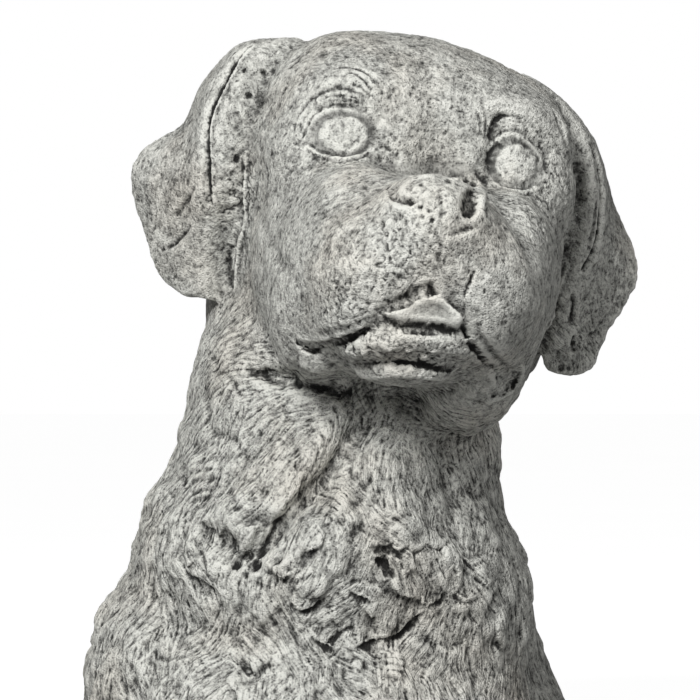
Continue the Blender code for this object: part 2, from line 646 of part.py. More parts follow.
def cut_flat(piece):
    """Cuts the bust off at the level it stands on, and closes the cut with one flat face."""
    bm = bmesh.new()
    bm.from_mesh(piece.data)
    everything = bm.verts[:] + bm.edges[:] + bm.faces[:]
    bmesh.ops.bisect_plane(bm, geom=everything, dist=1e-7, plane_co=(0, 0, 0), plane_no=(0, 0, 1),
                           clear_inner=True)
    bmesh.ops.holes_fill(bm, edges=[edge for edge in bm.edges if edge.is_boundary], sides=0)
    bmesh.ops.dissolve_degenerate(bm, dist=0.05 * UNIT, edges=bm.edges[:])
    bmesh.ops.recalc_face_normals(bm, faces=bm.faces[:])
    bm.to_mesh(piece.data)
    bm.free()


def centre_on_base(piece):
    """Moves the bust so that the origin is under the middle of its box."""
    places = vertex_values(piece.data, "co")
    middle = (places.min(0) + places.max(0)) / 2
    set_vertices(piece.data, places - (middle[0], middle[1], 0))
    print("the middle of the bust's box was at", middle.round(5))


def stone():
    material = bpy.data.materials.new("cast_stone")
    material.use_nodes = True
    shader = material.node_tree.nodes["Principled BSDF"]
    shader.inputs["Base Color"].default_value = STONE_COLOUR
    shader.inputs["Roughness"].default_value = STONE_ROUGHNESS
    shader.inputs["Metallic"].default_value = 0.0
    return material


def dog_bust():
    bust = rough_form("dog_bust", head_masses() + body_masses())
    join(bust, [ear("right_ear", RIGHT_EAR), ear("left_ear", LEFT_EAR)])
    remesh(bust, FINE_VOXEL)
    relax(bust, 4)
    clay = Clay(bust)
    shape_brow_and_cheeks(clay)
    right_eye, left_eye = ((-2.3, 210.2), (58.9, 200.1))
    shape_eye(clay, -1, right_eye)
    shape_eye(clay, 1, left_eye)
    shape_nose(clay)
    clay.look_again()
    shape_mouth(clay)
    shape_ears(clay)
    shape_hide(clay)
    shape_fur(clay)
    remesh(bust, CAST_VOXEL)
    lighten(bust, CAST_TRIANGLES)
    cut_flat(bust)
    centre_on_base(bust)
    bust.data.materials.clear()
    bust.data.materials.append(stone())
    bust.data.shade_smooth()
    return bust


def main():
    clear_scene()
    bust = dog_bust()
    figurine = bpy.data.collections.new("dog_figurine")
    bpy.context.scene.collection.children.link(figurine)
    bpy.context.scene.collection.objects.unlink(bust)
    figurine.objects.link(bust)


main()
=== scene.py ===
# %% [markdown]
# # A young dog's bust in weathered cast stone
# The real thing is one casting: wet stone mix is packed into a mould, and the mould holds every lock
# of fur that the sculptor cut into the clay. So this lesson works as the sculptor did. It builds a
# clay of round masses, lays the folded ears on it, cuts the face, lays the fur on in tufts, combs
# it, and then finds a dry stone for the finished skin, painted pale on its crests and dark in its
# hollows as painted highlight and painted shade.
# The solid of the bust comes first, because everything here has to keep its form and its size.

# %% Load the frame
import math

import bmesh
import bpy
import numpy as np
from mathutils import Matrix, Vector
from mathutils.kdtree import KDTree


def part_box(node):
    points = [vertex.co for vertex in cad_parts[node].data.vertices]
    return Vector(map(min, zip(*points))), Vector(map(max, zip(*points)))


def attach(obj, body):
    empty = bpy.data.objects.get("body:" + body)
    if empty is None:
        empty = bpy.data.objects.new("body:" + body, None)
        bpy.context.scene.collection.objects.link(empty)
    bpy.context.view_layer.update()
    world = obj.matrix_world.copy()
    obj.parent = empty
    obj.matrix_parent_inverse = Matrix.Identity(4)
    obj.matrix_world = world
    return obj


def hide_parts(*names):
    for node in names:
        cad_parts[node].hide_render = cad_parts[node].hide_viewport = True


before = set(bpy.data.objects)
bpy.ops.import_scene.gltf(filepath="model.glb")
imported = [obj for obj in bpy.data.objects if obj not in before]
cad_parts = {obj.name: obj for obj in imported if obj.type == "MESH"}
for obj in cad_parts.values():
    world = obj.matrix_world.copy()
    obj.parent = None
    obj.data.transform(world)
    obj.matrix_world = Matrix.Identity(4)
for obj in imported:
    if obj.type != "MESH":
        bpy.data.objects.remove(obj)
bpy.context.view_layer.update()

# %% [markdown]
# ## One unit for the carving
# A sculptor measures with callipers, from one height. The bust's solid is 250 units high up to its
# crown, so one unit is about a millimetre, and it is read from the frame: the carving then follows
# the solid if that is ever made larger or smaller. Places are x to the dog's left, y backwards and
# z up, in units, and only the last step turns them into metres.

# %% The unit
CROWN = 250.2
bust_low, bust_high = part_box("dog_bust")
UNIT = bust_high.z / CROWN
print("one unit is", round(UNIT * 1000, 4), "mm")

# %% [markdown]
# ## The head's own directions
# The head is turned, raised and tilted on the neck. Everything on it is placed with three
# directions of its own, across, forward along the muzzle, and up, so that both eyes or both lips
# can be made with one rule and still sit on a tilted head.

# %% Pose of the head
EYES_AT = np.array((28.4, -25.0, 204.6))
TURN, LIFT, TILT = (math.radians(angle) for angle in (8.0, 12.0, 9.7))


def head_frame():
    across = np.array([math.cos(TURN), math.sin(TURN), 0])
    level = np.array([math.sin(TURN), -math.cos(TURN), 0])
    forward = level * math.cos(LIFT) + np.array([0, 0, math.sin(LIFT)])
    up = -np.cross(across, forward)
    return np.array([across * math.cos(TILT) - up * math.sin(TILT), forward,
                     up * math.cos(TILT) + across * math.sin(TILT)])


HEAD = head_frame()
ACROSS, FORWARD, UP = HEAD


def on_head(across, forward, up):
    """A place measured from the point between the eyes, along the head's own directions."""
    return EYES_AT + np.array([across, forward, up]) @ HEAD


print("the muzzle points along", FORWARD.round(3))


# %% [markdown]
# ## Round masses
# A skull, a muzzle and a ribcage are all near to ellipsoids, and so are the lumps of clay that a
# sculptor starts from. Each mass knows how far a point is from its skin. Metaballs would do the
# same job, but they can't be pressed flat and tilted one by one with such control.

# %% A mass of clay
class Mass:
    """An ellipsoid with its middle and its half sizes, along its own axes."""

    def __init__(self, middle, half, axes=None, pitch=0.0):
        turn = np.array(Matrix.Rotation(math.radians(pitch), 3, "X")).T
        self.axes = turn if axes is None else turn @ axes
        self.middle = np.array(middle, float)
        self.half = np.array(half, float)

    def distance(self, points):
        """About how far each point is outside the skin; within it, the number is negative."""
        local = (points - self.middle) @ self.axes.T
        near = np.linalg.norm(local / self.half, axis=1)
        slope = np.linalg.norm(local / self.half ** 2, axis=1)
        return near * (near - 1) / np.maximum(slope, 1e-6)

    def add_to(self, mesh):
        place = np.eye(4)
        place[:3, :3] = (self.axes * self.half[:, None]).T
        place[:3, 3] = self.middle
        bmesh.ops.create_icosphere(mesh, subdivisions=4, radius=1.0, matrix=Matrix(place.tolist()))


def head_mass(across, forward, up, *half, pitch=0.0):
    return [Mass(on_head(across, forward, up), half, HEAD, pitch)]


def head_pair(across, forward, up, *half):
    return head_mass(-across, forward, up, *half) + head_mass(across, forward, up, *half)


# %% The head: places across, forward and up from between the eyes, then half sizes
head_masses = [
    *head_mass(-4, -48, 2, 56, 60, 50.5),  # cranium
    *head_mass(-29, -38, 13.5, 30, 40, 33),  # temple on the dog's right
    *head_mass(27, -42, 9, 29, 40, 34),  # temple on the dog's left
    *head_mass(0, -8, 6, 38, 20, 28),  # forehead
    *head_pair(27, -6, 14, 22, 16, 13),  # brows
    *head_pair(33, -12, -6, 22, 20, 18),  # round the eyes
    *head_pair(34, -24, -36, 21, 38, 34),  # cheeks
    *head_pair(25, 10, -46, 23, 40, 33),  # sides of the muzzle where it starts
    *head_mass(-1, 34, -34, 21, 44, 15, pitch=-12),  # bridge of the muzzle
    *head_mass(-2.5, 65, -40, 17, 14, 13),  # nose
    *head_pair(19, 42, -59, 21, 30, 24),  # hanging lips
    *head_mass(0, 60, -52, 20, 15, 15),  # front of the muzzle
    *head_mass(-4, 30, -80.5, 20.5, 29, 11),  # lower jaw
    *head_mass(-3, -14, -66, 28, 32, 14),  # root of the jaw
    *head_mass(26.5, -12, -77.5, 17, 26, 18),  # angle of the jaw on the dog's left
    *head_mass(-32, 2, -64, 16, 30, 24),  # jowls
    *head_mass(29, 2, -64, 15, 30, 24),
    *head_mass(0, -88, 0, 38, 30, 34),  # back of the skull
    *head_pair(46, -62, -4, 17, 30, 36),  # roots of the ears
    *head_mass(-40, -84, -26, 25, 34, 46),  # stone left behind the ears
    *head_mass(36, -84, -29, 27, 34, 44),
]

# %% The body: middle and half sizes
body_masses = [
    Mass((7, 42, 160), (52, 54, 48)),  # nape
    Mass((-3, 34, 122), (50, 60, 44)),  # neck
    Mass((-22, 26, 112), (35, 46, 46)),
    Mass((-29, 24, 84), (34, 50, 38)),  # right side of the neck
    Mass((-44, 22, 62), (32, 44, 34)),
    Mass((3, 28, 96), (52, 60, 40)),
    Mass((-4, 3, 74), (44, 40, 44)),  # breast
    Mass((-8, 18, 55), (66, 66, 48)),
    Mass((19, 26, 40), (46, 58, 46)),
    Mass((-14, 22, -6), (80, 80, 60)),  # ribcage
    Mass((6, 72, 72), (50, 46, 64)),  # withers
    Mass((16, 82, 30), (52, 56, 60)),
    Mass((27, 88, -8), (54, 58, 50)),  # back
    Mass((-30, 66, -4), (56, 58, 58)),
    Mass((-62, 22, 15), (33, 46, 44)),  # right shoulder
]
print("clay of", len(head_masses), "masses on the head and", len(body_masses), "on the body")

# %% [markdown]
# ## Small tools for meshes
# A voxel remesh turns any heap of overlapping closed shapes into one even skin, which is what a
# casting is. The skin's vertices are then moved as arrays, many thousands at a time, because that
# is what makes carving in code quick enough to run again and again.

# %% Mesh helpers
def vertex_values(mesh, name):
    values = np.empty(len(mesh.vertices) * 3, np.float32)
    mesh.vertices.foreach_get(name, values)
    return values.reshape(-1, 3).astype(float)


def set_vertices(mesh, places):
    mesh.vertices.foreach_set("co", places.astype(np.float32).ravel())
    mesh.update()


def new_object(name, bm):
    mesh = bpy.data.meshes.new(name)
    bm.to_mesh(mesh)
    bm.free()
    piece = bpy.data.objects.new(name, mesh)
    bpy.context.scene.collection.objects.link(piece)
    return piece


def apply_modifiers(piece):
    """Makes the evaluated mesh the object's own."""
    graph = bpy.context.evaluated_depsgraph_get()
    finished = bpy.data.meshes.new_from_object(piece.evaluated_get(graph))
    piece.modifiers.clear()
    before = piece.data
    piece.data = finished
    bpy.data.meshes.remove(before)


def remesh(piece, voxel):
    skin = piece.modifiers.new("skin", "REMESH")
    skin.mode = "VOXEL"
    skin.voxel_size = voxel
    apply_modifiers(piece)


def join(piece, others):
    """Adds the others' meshes to the piece; the next remesh makes them one body."""
    bm = bmesh.new()
    for source in (piece, *others):
        bm.from_mesh(source.data)
    bm.to_mesh(piece.data)
    bm.free()
    for source in others:
        bpy.data.objects.remove(source)


def relaxed(mesh, values, times, weight=None):
    """Each vertex's values move half way to the mean of its neighbours', once for each time."""
    ends = np.empty(len(mesh.edges) * 2, np.int64)
    mesh.edges.foreach_get("vertices", ends)
    here = np.concatenate([ends[::2], ends[1::2]])
    there = np.concatenate([ends[1::2], ends[::2]])
    count = np.maximum(np.bincount(here, minlength=len(values)), 1)
    share = 0.5 if weight is None else 0.5 * weight

    def moved(column):
        mean = np.bincount(here, weights=column[there], minlength=len(column)) / count
        return column + share * (mean - column)

    columns = list(values.T)
    for _ in range(times):
        columns = [moved(column) for column in columns]
    return np.array(columns).T


# %% [markdown]
# ## The rough form
# The masses are first skinned over roughly. Then each vertex slides to where the distance to all
# masses together is nothing, and a soft minimum lets neighbouring masses flow into one another, as
# clay does under a thumb. The melt is how far that flow reaches.

# %% Skin over the masses
ROUGH_VOXEL = 3.0
MELT = 4.0


def melted_distance(masses, points):
    """Distance to all the masses at once, with their meetings rounded off."""
    each = np.array([mass.distance(points) for mass in masses])
    nearest = each.min(0)
    return nearest - MELT * np.log(np.exp(-(each - nearest) / MELT).sum(0))


def rough_form(name, masses, steps=4, reach=0.5):
    bm = bmesh.new()
    for mass in masses:
        mass.add_to(bm)
    piece = new_object(name, bm)
    remesh(piece, ROUGH_VOXEL)
    places = vertex_values(piece.data, "co")
    for _ in range(steps):
        gap = melted_distance(masses, places)
        ahead = [melted_distance(masses, places + reach * axis) for axis in np.eye(3)]
        slope = (np.stack(ahead, 1) - gap[:, None]) / reach
        steep = np.maximum(np.linalg.norm(slope, axis=1, keepdims=True), 0.2)
        places -= slope / steep * np.clip(gap[:, None] / steep, -2 * ROUGH_VOXEL, 2 * ROUGH_VOXEL)
    set_vertices(piece.data, places)
    return piece


bust = rough_form("stone_bust", head_masses + body_masses)
print("rough form of", len(bust.data.vertices), "vertices")

# %% [markdown]
# ## The ears
# A hanging ear is a folded flap: it comes out of the skull, folds over, and drops with its back
# edge free. A coarse cage over four lines is enough for it: the front edge on the cheek, the fold,
# the valley behind the fold and the free edge. Subdivision rounds the cage, and Solidify gives it
# the thickness that stone needs.

# %% Rows down each ear: front edge, fold, valley and free edge
EAR_THICKNESS = 6.5
RIGHT_EAR = (
    ((-13.9, 34, 236.2), (-20.4, 34, 237.6), (-23.4, 40, 236.4), (-26.4, 48, 234.5)),
    ((-17.1, 20, 246.5), (-31.5, 14, 245.9), (-35.3, 25, 245.3), (-38.7, 38, 244)),
    ((-18.8, 11, 241.8), (-39.3, 6, 240.8), (-41.7, 20, 240.3), (-43.1, 39, 239.3)),
    ((-21.7, 8, 235.1), (-42.9, 2, 234.9), (-45.3, 15, 235), (-48.6, 40, 234.9)),
    ((-24.5, 5, 227.1), (-47.5, 0, 226.9), (-50.3, 14, 227), (-53.4, 42, 227.7)),
    ((-29.9, 3, 218.7), (-50, -2, 218.5), (-52.5, 13, 218.7), (-56.4, 42, 219.7)),
    ((-34.2, 3, 210.8), (-51.1, -3, 210.6), (-53.5, 12, 211), (-60.8, 42, 212)),
    ((-36.8, 4, 203.6), (-51.4, -3, 203.4), (-55, 11, 203.8), (-74.2, 40, 207.5)),
    ((-37.2, 6, 195.3), (-51.1, -2, 195.2), (-55.6, 9, 195.4), (-79.3, 38, 199.1)),
    ((-37.6, 8, 186.7), (-49.7, 2, 187.3), (-55.6, 8, 187.1), (-77.1, 37, 187.3)),
    ((-38.3, 10, 177.4), (-48.4, 8, 178.1), (-55, 11, 178.1), (-73.4, 36, 178.6)),
    ((-39.8, 13, 168), (-47.4, 12, 168.7), (-54.3, 13, 168.7), (-71.5, 33, 169.7)),
    ((-41.3, 16, 159.4), (-46.7, 15, 159.4), (-53.6, 15, 159.4), (-67.4, 30, 158)),
    ((-42.5, 20, 152.5), (-47.5, 19, 152.9), (-52.9, 18, 153.6), (-58.8, 22, 153.2)),
)
LEFT_EAR = (
    ((55, 48, 224.3), (59.8, 46, 224.2), (62.6, 56, 223.1), (64.3, 68, 222)),
    ((58.3, 32, 236.8), (66.1, 24, 232.1), (68.8, 40, 230.2), (71.1, 60, 228)),
    ((64.7, 26, 228.6), (73.6, 18, 223.6), (76.3, 36, 222.4), (79.6, 60, 220.3)),
    ((72.6, 22, 219.7), (82.9, 14, 213.6), (84.3, 34, 213.2), (85.9, 60, 212.2)),
    ((77.7, 22, 208.1), (87.2, 12, 205.3), (88.6, 33, 205.1), (89.9, 60, 204)),
    ((80.3, 24, 197.6), (89, 12, 195.5), (90.1, 33, 195.3), (92.5, 59, 194.8)),
    ((80.4, 26, 188.6), (88.7, 14, 186.5), (90.1, 33, 186.2), (94.7, 58, 185.9)),
    ((79, 28, 178.4), (87.7, 17, 177.5), (90.5, 34, 177.1), (99.7, 56, 177.4)),
    ((76.9, 30, 166.1), (84.6, 22, 166.7), (89.8, 36, 166.1), (104.4, 53, 166.4)),
    ((74.7, 31, 157.7), (81.8, 25, 158.7), (88.4, 36, 158.1), (105.1, 51, 158.2)),
    ((72.6, 33, 148.6), (79, 29, 148.6), (86.6, 37, 148.6), (97.9, 47, 148.7)),
    ((70.8, 35, 137.7), (76.6, 33, 136.9), (83.3, 38, 136.2), (91.6, 45, 136.9)),
    ((70.5, 37, 126.7), (75.2, 36, 124.9), (80.8, 38, 124.1), (89.3, 42, 126.7)),
)


def ear(name, rows):
    bm = bmesh.new()
    lines = len(rows[0])
    bmesh.ops.create_grid(bm, x_segments=lines - 1, y_segments=len(rows) - 1, size=1.0)
    corners = sorted(bm.verts, key=lambda v: (round(v.co.y, 4), round(v.co.x, 4)))
    for index, corner in enumerate(corners):
        corner.co = rows[index // lines][index % lines]
    sheet = new_object(name, bm)
    rounding = sheet.modifiers.new("rounding", "SUBSURF")
    rounding.levels = rounding.render_levels = 3
    rounding.boundary_smooth = "PRESERVE_CORNERS"
    body = sheet.modifiers.new("thickness", "SOLIDIFY")
    body.thickness = EAR_THICKNESS
    body.offset = 0
    apply_modifiers(sheet)
    return sheet


join(bust, [ear("right_ear", RIGHT_EAR), ear("left_ear", LEFT_EAR)])
print("with both ears:", len(bust.data.vertices), "vertices")

# %% [markdown]
# ## Carving tools
# A few tools do all the carving. A stroke raises a band along a line, or cuts it, like a loop tool
# drawn over clay. A patch raises the area within a line as a thin slab, dots make knobs or pits,
# and a dab moves a round patch, like a thumb. Relaxing smooths, like a wet sponge. A line is given
# as the sculptor sees it from the front, and is carried straight back on to the surface. No hand
# cuts a perfect line and no cast keeps one, so a smooth noise makes every edge wander a little.

# %% Lines and soft steps
def smooth_path(points, parts=8):
    """A Catmull-Rom curve through the points."""
    p = np.array(points, float)
    p = np.vstack([2 * p[0] - p[1], p, 2 * p[-1] - p[-2]])
    t = (np.arange(parts) / parts)[:, None]
    runs = [
        0.5 * (2 * b + (c - a) * t + (2 * a - 5 * b + 4 * c - d) * t ** 2
               + (3 * b - a - 3 * c + d) * t ** 3)
        for a, b, c, d in zip(p, p[1:], p[2:], p[3:])
    ]
    return np.vstack([*runs, p[-2:-1]])


def along(path, points):
    """How far each point is from the path, its share of the way along, and how far above it is."""
    away = np.full(len(points), np.inf)
    share = np.zeros(len(points))
    above = np.zeros(len(points))
    lengths = np.linalg.norm(np.diff(path, axis=0), axis=1)
    done = 0.0
    for start, end, length in zip(path, path[1:], lengths):
        run = end - start
        t = np.clip((points - start) @ run / max(length ** 2, 1e-9), 0, 1)
        off = points - start - t[:, None] * run
        distance = np.linalg.norm(off, axis=1)
        closer = distance < away
        away[closer] = distance[closer]
        share[closer] = (done + t * length)[closer] / lengths.sum()
        above[closer] = (run[0] * off[:, 2] - run[2] * off[:, 0])[closer] / length
        done += length
    return away, share, above


def inside_by(outline, points):
    """How far each point lies inside a closed line; outside, the number is negative."""
    inside = np.zeros(len(points), bool)
    away = np.full(len(points), np.inf)
    for start, end in zip(outline, outline[1:]):
        run = end - start
        off = points - start
        t = np.clip(off @ run / max(run @ run, 1e-9), 0, 1)
        away = np.minimum(away, np.linalg.norm(off - t[:, None] * run, axis=1))
        passed = (start[1] > points[:, 1]) != (end[1] > points[:, 1])
        inside ^= passed & ((off[:, 0] * run[1] < off[:, 1] * run[0]) ^ (run[1] < 0))
    return np.where(inside, away, -away)


def bell(x):
    return np.exp(-x ** 2)


def step(x, sharpness):
    """Goes from 0 to 1 as x passes zero."""
    return 1 / (1 + np.exp(-np.clip(x * sharpness, -60, 60)))


def unit_vector(v):
    return v / np.linalg.norm(v, axis=-1, keepdims=True)


# %% Smooth noise, on a grid that is turned so that its rows don't show
ASKEW = np.array(Matrix.Rotation(0.7, 3, (0.6, 0.5, 0.62)))


def smooth_noise(points, seed=1):
    """Random heights from -1 to 1 that change over about one unit."""
    table = np.random.default_rng(seed).uniform(-1, 1, 4096)
    points = points @ ASKEW
    cell = np.floor(points).astype(np.int64)
    t = points - cell
    t = t * t * (3 - 2 * t)
    total = np.zeros(len(points))
    for corner in np.ndindex(2, 2, 2):
        mixed = (cell + corner) * (73856093, 19349663, 83492791)
        key = mixed[:, 0] ^ mixed[:, 1] ^ mixed[:, 2]
        total += table[(key ^ (key >> 13)) % 4096] * np.where(corner, t, 1 - t).prod(1)
    return total


# %% The clay and its tools
# How far the middle of a thin stroke and the edge of a patch wander, in units
WOBBLE = 0.25
RAGGED = 0.6
# A patch reaches this far in front of its middle and behind it
PATCH_DEPTH = 16


class Clay:
    """The soft surface: strokes and dabs move its vertices."""

    def __init__(self, piece):
        self.piece = piece
        self.places = vertex_values(piece.data, "co")
        self.look_again()

    def look_again(self):
        """Gives the mesh the surface as it is now, so that the next strokes land on that."""
        moved = np.linalg.norm(self.places - vertex_values(self.piece.data, "co"), axis=1)
        if moved.max() > 0.01:
            print("moved", (moved > 0.01).sum(), "vertices by up to", moved.max().round(2), "units")
        set_vertices(self.piece.data, self.places)
        self.facing = vertex_values(self.piece.data, "normal")
        bpy.context.view_layer.update()

    def hit(self, start, way):
        """Where a straight look from the start first meets the surface."""
        return np.array(self.piece.ray_cast(Vector(start), Vector(way))[1])

    def front(self, points):
        """Places (x, z) seen from the front, carried back on to the surface."""
        return np.array([self.hit((x, -400, z), (0, 1, 0)) for x, z in points])

    def stroke(self, points, width, height, taper=0.5, under=None, way=None):
        """Raises a band along a line seen from the front, or cuts it where the height is negative.

        Where under is given, its height and width hold for the side below the line.
        """
        path = smooth_path(self.front(points))
        reach = 3 * width
        low, high = path.min(0) - reach, path.max(0) + reach
        near = np.where(((self.places > low) & (self.places < high)).all(1))[0]
        away, share, above = along(path, self.places[near])
        if width < 2.5:
            away = np.abs(away + WOBBLE * smooth_noise(self.places[near] / 1.6, seed=11))
        amount = height * bell(away / width)
        if under is not None:
            below = under[0] * bell(away / under[1])
            amount = below + (amount - below) * step(above, 5)
        amount *= np.sin(np.pi * share).clip(0, 1) ** taper
        self.places[near] += (self.facing[near] if way is None else np.array(way)) * amount[:, None]

    def patch(self, outline, height, edge=0.5, crown=0.0, way=None, ragged=RAGGED):
        """Raises the area within a closed line seen from the front, or sinks it, with a sharp step."""
        outline = smooth_path([*outline, outline[0]], 4)
        low, high = outline.min(0) - 4 * edge, outline.max(0) + 4 * edge
        seen = self.places[:, ::2]
        near = ((seen > low) & (seen < high)).all(1) & (self.facing[:, 1] < 0)
        depth = self.front([(low + high) / 2])[0, 1]
        near = np.where(near & (np.abs(self.places[:, 1] - depth) < PATCH_DEPTH))[0]
        inside = inside_by(outline, seen[near])
        inside += ragged * smooth_noise(self.places[near] / 1.3, seed=13)
        amount = (height + crown * (inside / inside.max()).clip(0, 1)) * step(inside, 2 / edge)
        self.places[near] += (self.facing[near] if way is None else way) * amount[:, None]
        return near, inside

    def dots(self, points, radius, height):
        """Makes small round knobs at places seen from the front, or pits."""
        for middle in self.front(points):
            away = np.linalg.norm(self.places - middle, axis=1)
            near = np.where(away < 3 * radius)[0]
            self.places[near] += self.facing[near] * (height * bell(away[near] / radius))[:, None]

    def dab(self, middle, half, move):
        """Moves a round patch of the head, with its half sizes along the head's directions."""
        local = (self.places - middle) @ HEAD.T / np.array(half, float)
        self.places += (1 - (local ** 2).sum(1)).clip(0, 1)[:, None] ** 2 * move

    def relax(self, times, middle=None, radius=1.0, weight=None):
        """Smooths all of the surface, or a round place, or more where the weight is higher."""
        if middle is not None:
            away = np.linalg.norm(self.places - middle, axis=1) / radius
            weight = (1.5 - 1.5 * away).clip(0, 1)
        self.places = relaxed(self.piece.data, self.places, times, weight)
        self.look_again()


# %% [markdown]
# ## A first skin, and the large forms of the head
# The ears and the masses become one skin here. The large forms come before any detail: the brows,
# the step down from the forehead to the muzzle, the furrow between the eyes and the valley
# between muzzle and cheek.

# %% Brows, furrow and cheeks
CLAY_VOXEL = 1.4
remesh(bust, CLAY_VOXEL)
clay = Clay(bust)
clay.relax(4)

clay.dab(on_head(0, 14, -6), (13, 20, 20), -4.0 * FORWARD)
for side in (-1, 1):
    clay.dab(on_head(side * 17, 18, -16), (11, 18, 13), -3.0 * FORWARD - side * ACROSS)
    clay.dab(on_head(side * 27, 6, 17), (19, 14, 9), 2.6 * FORWARD + 1.5 * UP)
    clay.dab(on_head(side * 12, 4, 14), (9, 12, 16), 1.2 * FORWARD)
clay.look_again()

middle_of_brow = ((29.2, 209.6), (28.1, 220.4), (26.6, 233), (25.2, 242))
clay.stroke(middle_of_brow, 4.0, -1.2, taper=0.6)
beside_muzzle = ((49, 195.2), (54, 185.8), (59.8, 174.3), (63, 165), (64.8, 152))
clay.stroke(beside_muzzle, 8.5, -4.4, taper=0.6, under=(-4.4, 2.8))
cheek_edge = ((-31.7, 183.7), (-28.8, 173.6), (-24.5, 165), (-16.6, 157))
clay.stroke(cheek_edge, 3.0, -1.4, taper=0.8)
inner_corner = ((59, 219.7), (54.7, 217.5), (52.2, 213.2), (50.8, 206), (50.8, 198.1), (51.8, 193.8))
clay.stroke(inner_corner, 3.4, -2.4)
clay.relax(3, on_head(0, 10, -10), 60)

# %% [markdown]
# ## The mouth, still soft
# The mouth is a little open. First come its soft forms: the two hanging lips, the lower lip that
# stands out under the tongue, and the chin. The sharp edges and the gaps wait for a finer skin.

# %% Lips and chin
inwards = -FORWARD
soft_lips = (
    (((32, 157), (22.6, 153.8), (13.2, 150.3), (3.5, 146.2), (-7, 141.7), (-17.4, 138.9)), 6.0, 1.2),
    (((41.8, 149.3), (46.7, 142.4), (52.3, 135.4), (58.5, 129.8)), 5.0, 1.2),
    (((-1.7, 132.6), (6.3, 135.7), (15.6, 137.8), (26.1, 137.8), (34.8, 135.4), (41, 131.9)), 4.4, 3.2),
    (((2.8, 126.7), (14.6, 128.1), (25.8, 127.7), (34.2, 125.6)), 3.3, 4.8),
    (((-15.3, 139.9), (-9, 142.7), (-2.8, 145.5), (4.2, 148.3)), 4.2, 1.6),
    (((-17.6, 130.5), (-11.9, 128.7), (-6.3, 129.1)), 4.8, 2.6),
)
for line, width, height in soft_lips:
    clay.stroke(line, width, height, taper=0.4)
clay.look_again()
soft_gaps = (
    (((-17.4, 136.1), (-9.8, 134.7), (-1.7, 137.1), (5.6, 141.3), (11.8, 145.2)), 2.4, 2.6),
    (((39, 142.4), (41.8, 137.1), (45.3, 133), (49.5, 128.8), (55.1, 125.6)), 2.4, 2.2),
    (((-1.7, 129.8), (5.6, 129.8), (13.9, 130.5), (20.9, 130.2), (27.9, 128.8), (35.5, 126.7)), 1.8, 1.6),
    (((-1.4, 135.4), (-2.5, 131.2), (-1.4, 126.3), (0.7, 122.1)), 2.0, 2.2),
    (((0, 121.1), (8.7, 119), (17.5, 118.3), (26.2, 119), (34.3, 120.7), (39.9, 123.5)), 3.4, 5.2),
)
for line, width, depth in soft_gaps:
    clay.stroke(line, width, depth, taper=0.4, way=inwards)
clay.look_again()
right_corner = ((-35.3, 126.8), (-28.8, 125.4), (-23, 123.9), (-18, 126.1))
clay.stroke(right_corner, 2.6, -4.0, taper=0.6)
left_corner = ((51.8, 127.2), (55.4, 123.9), (59, 123.2))
clay.stroke(left_corner, 3.0, 2.5, taper=0.4, way=inwards)
clay.relax(2, on_head(0, 50, -78), 45)

# %% [markdown]
# ## Folds of the ears and of the hide
# Behind each ear's fold runs a valley, and the flap is hollow below it. On the throat the hide
# falls in long soft folds from the jaw. These are broad strokes, and the fur goes over them.

# %% Valleys and hollows of the ears
behind_right_fold = (
    (-38.2, 242), (-42.1, 235.5), (-46.1, 229), (-49, 221.1), (-51.1, 212.5), (-51.5, 204.2),
    (-51.1, 193.8), (-49.7, 185.8),
)
clay.stroke(behind_right_fold, 2.6, -2.4, taper=0.4)
right_hollow = ((-60.2, 192.1), (-60.2, 186.6), (-61.7, 179.7), (-66, 171))
clay.stroke(right_hollow, 4.0, -2.2, taper=0.6)
right_valley = ((-46.1, 185.8), (-45.4, 173.6), (-46.1, 161), (-47.9, 152))
clay.stroke(right_valley, 4.5, -3.0)
behind_left_fold = (
    (87.8, 210.2), (90.7, 199.3), (91.8, 192.1), (91.1, 184.1), (90, 176.8), (87.5, 168.8), (84.2, 162.3),
)
clay.stroke(behind_left_fold, 2.6, -2.6, taper=0.4)
beside_left_cheek = (
    (78, 210.2), (81.3, 200.4), (81.6, 189.2), (79.8, 179.7), (78, 166.7), (74.8, 155.8), (72.2, 144.2),
    (71.1, 134),
)
clay.stroke(beside_left_cheek, 2.2, -3.0, taper=0.4)
clay.look_again()

# %% Folds of the hide
under_jaw = (
    (8.6, 117.8), (5.4, 111.7), (-1.1, 102.3), (-10.1, 89.4), (-18, 80.7), (-26.6, 71), (-36, 63.8),
    (-44.6, 65.6), (-52.6, 72.1),
)
clay.stroke(under_jaw, 5.5, -6.4, under=(-6.4, 3.6))
over_valley = ((0.7, 114.6), (-7.2, 101.6), (-18, 89.4), (-28.1, 79.3))
clay.stroke(over_valley, 6.0, 3.2, taper=0.6)
neck_swell = ((-26.6, 117.8), (-21.6, 105.2), (-26.6, 90.8), (-39.6, 76.4), (-52.2, 69.2))
clay.stroke(neck_swell, 9.0, 3.0, taper=0.7)
throat = ((5.8, 107), (12.6, 90.8), (17.3, 72.8), (18.7, 58.4))
clay.stroke(throat, 9.0, 4.8, taper=0.6)
breast = ((-3.6, 80), (-10.1, 63.8), (-18, 44))
clay.stroke(breast, 8.0, 2.6, taper=0.7)
beside_throat = ((32.4, 107), (34.6, 94.4), (36, 80), (32.4, 65.6))
clay.stroke(beside_throat, 5.0, -3.2, taper=0.6)
left_swell = ((43.2, 105.2), (46.8, 87.2), (49, 65.6), (46.8, 44))
clay.stroke(left_swell, 8.0, 2.0, taper=0.7)
neck_step = ((-53.3, 72.1), (-47.2, 69.9), (-39.6, 63.8), (-31.7, 58.4))
clay.stroke(neck_step, 3.0, -3.0)
chest_edge = ((3.2, 29.6), (11.9, 31.4), (19.8, 35), (25.2, 38.6), (29.5, 41.8))
clay.stroke(chest_edge, 2.4, -2.6, taper=0.4)
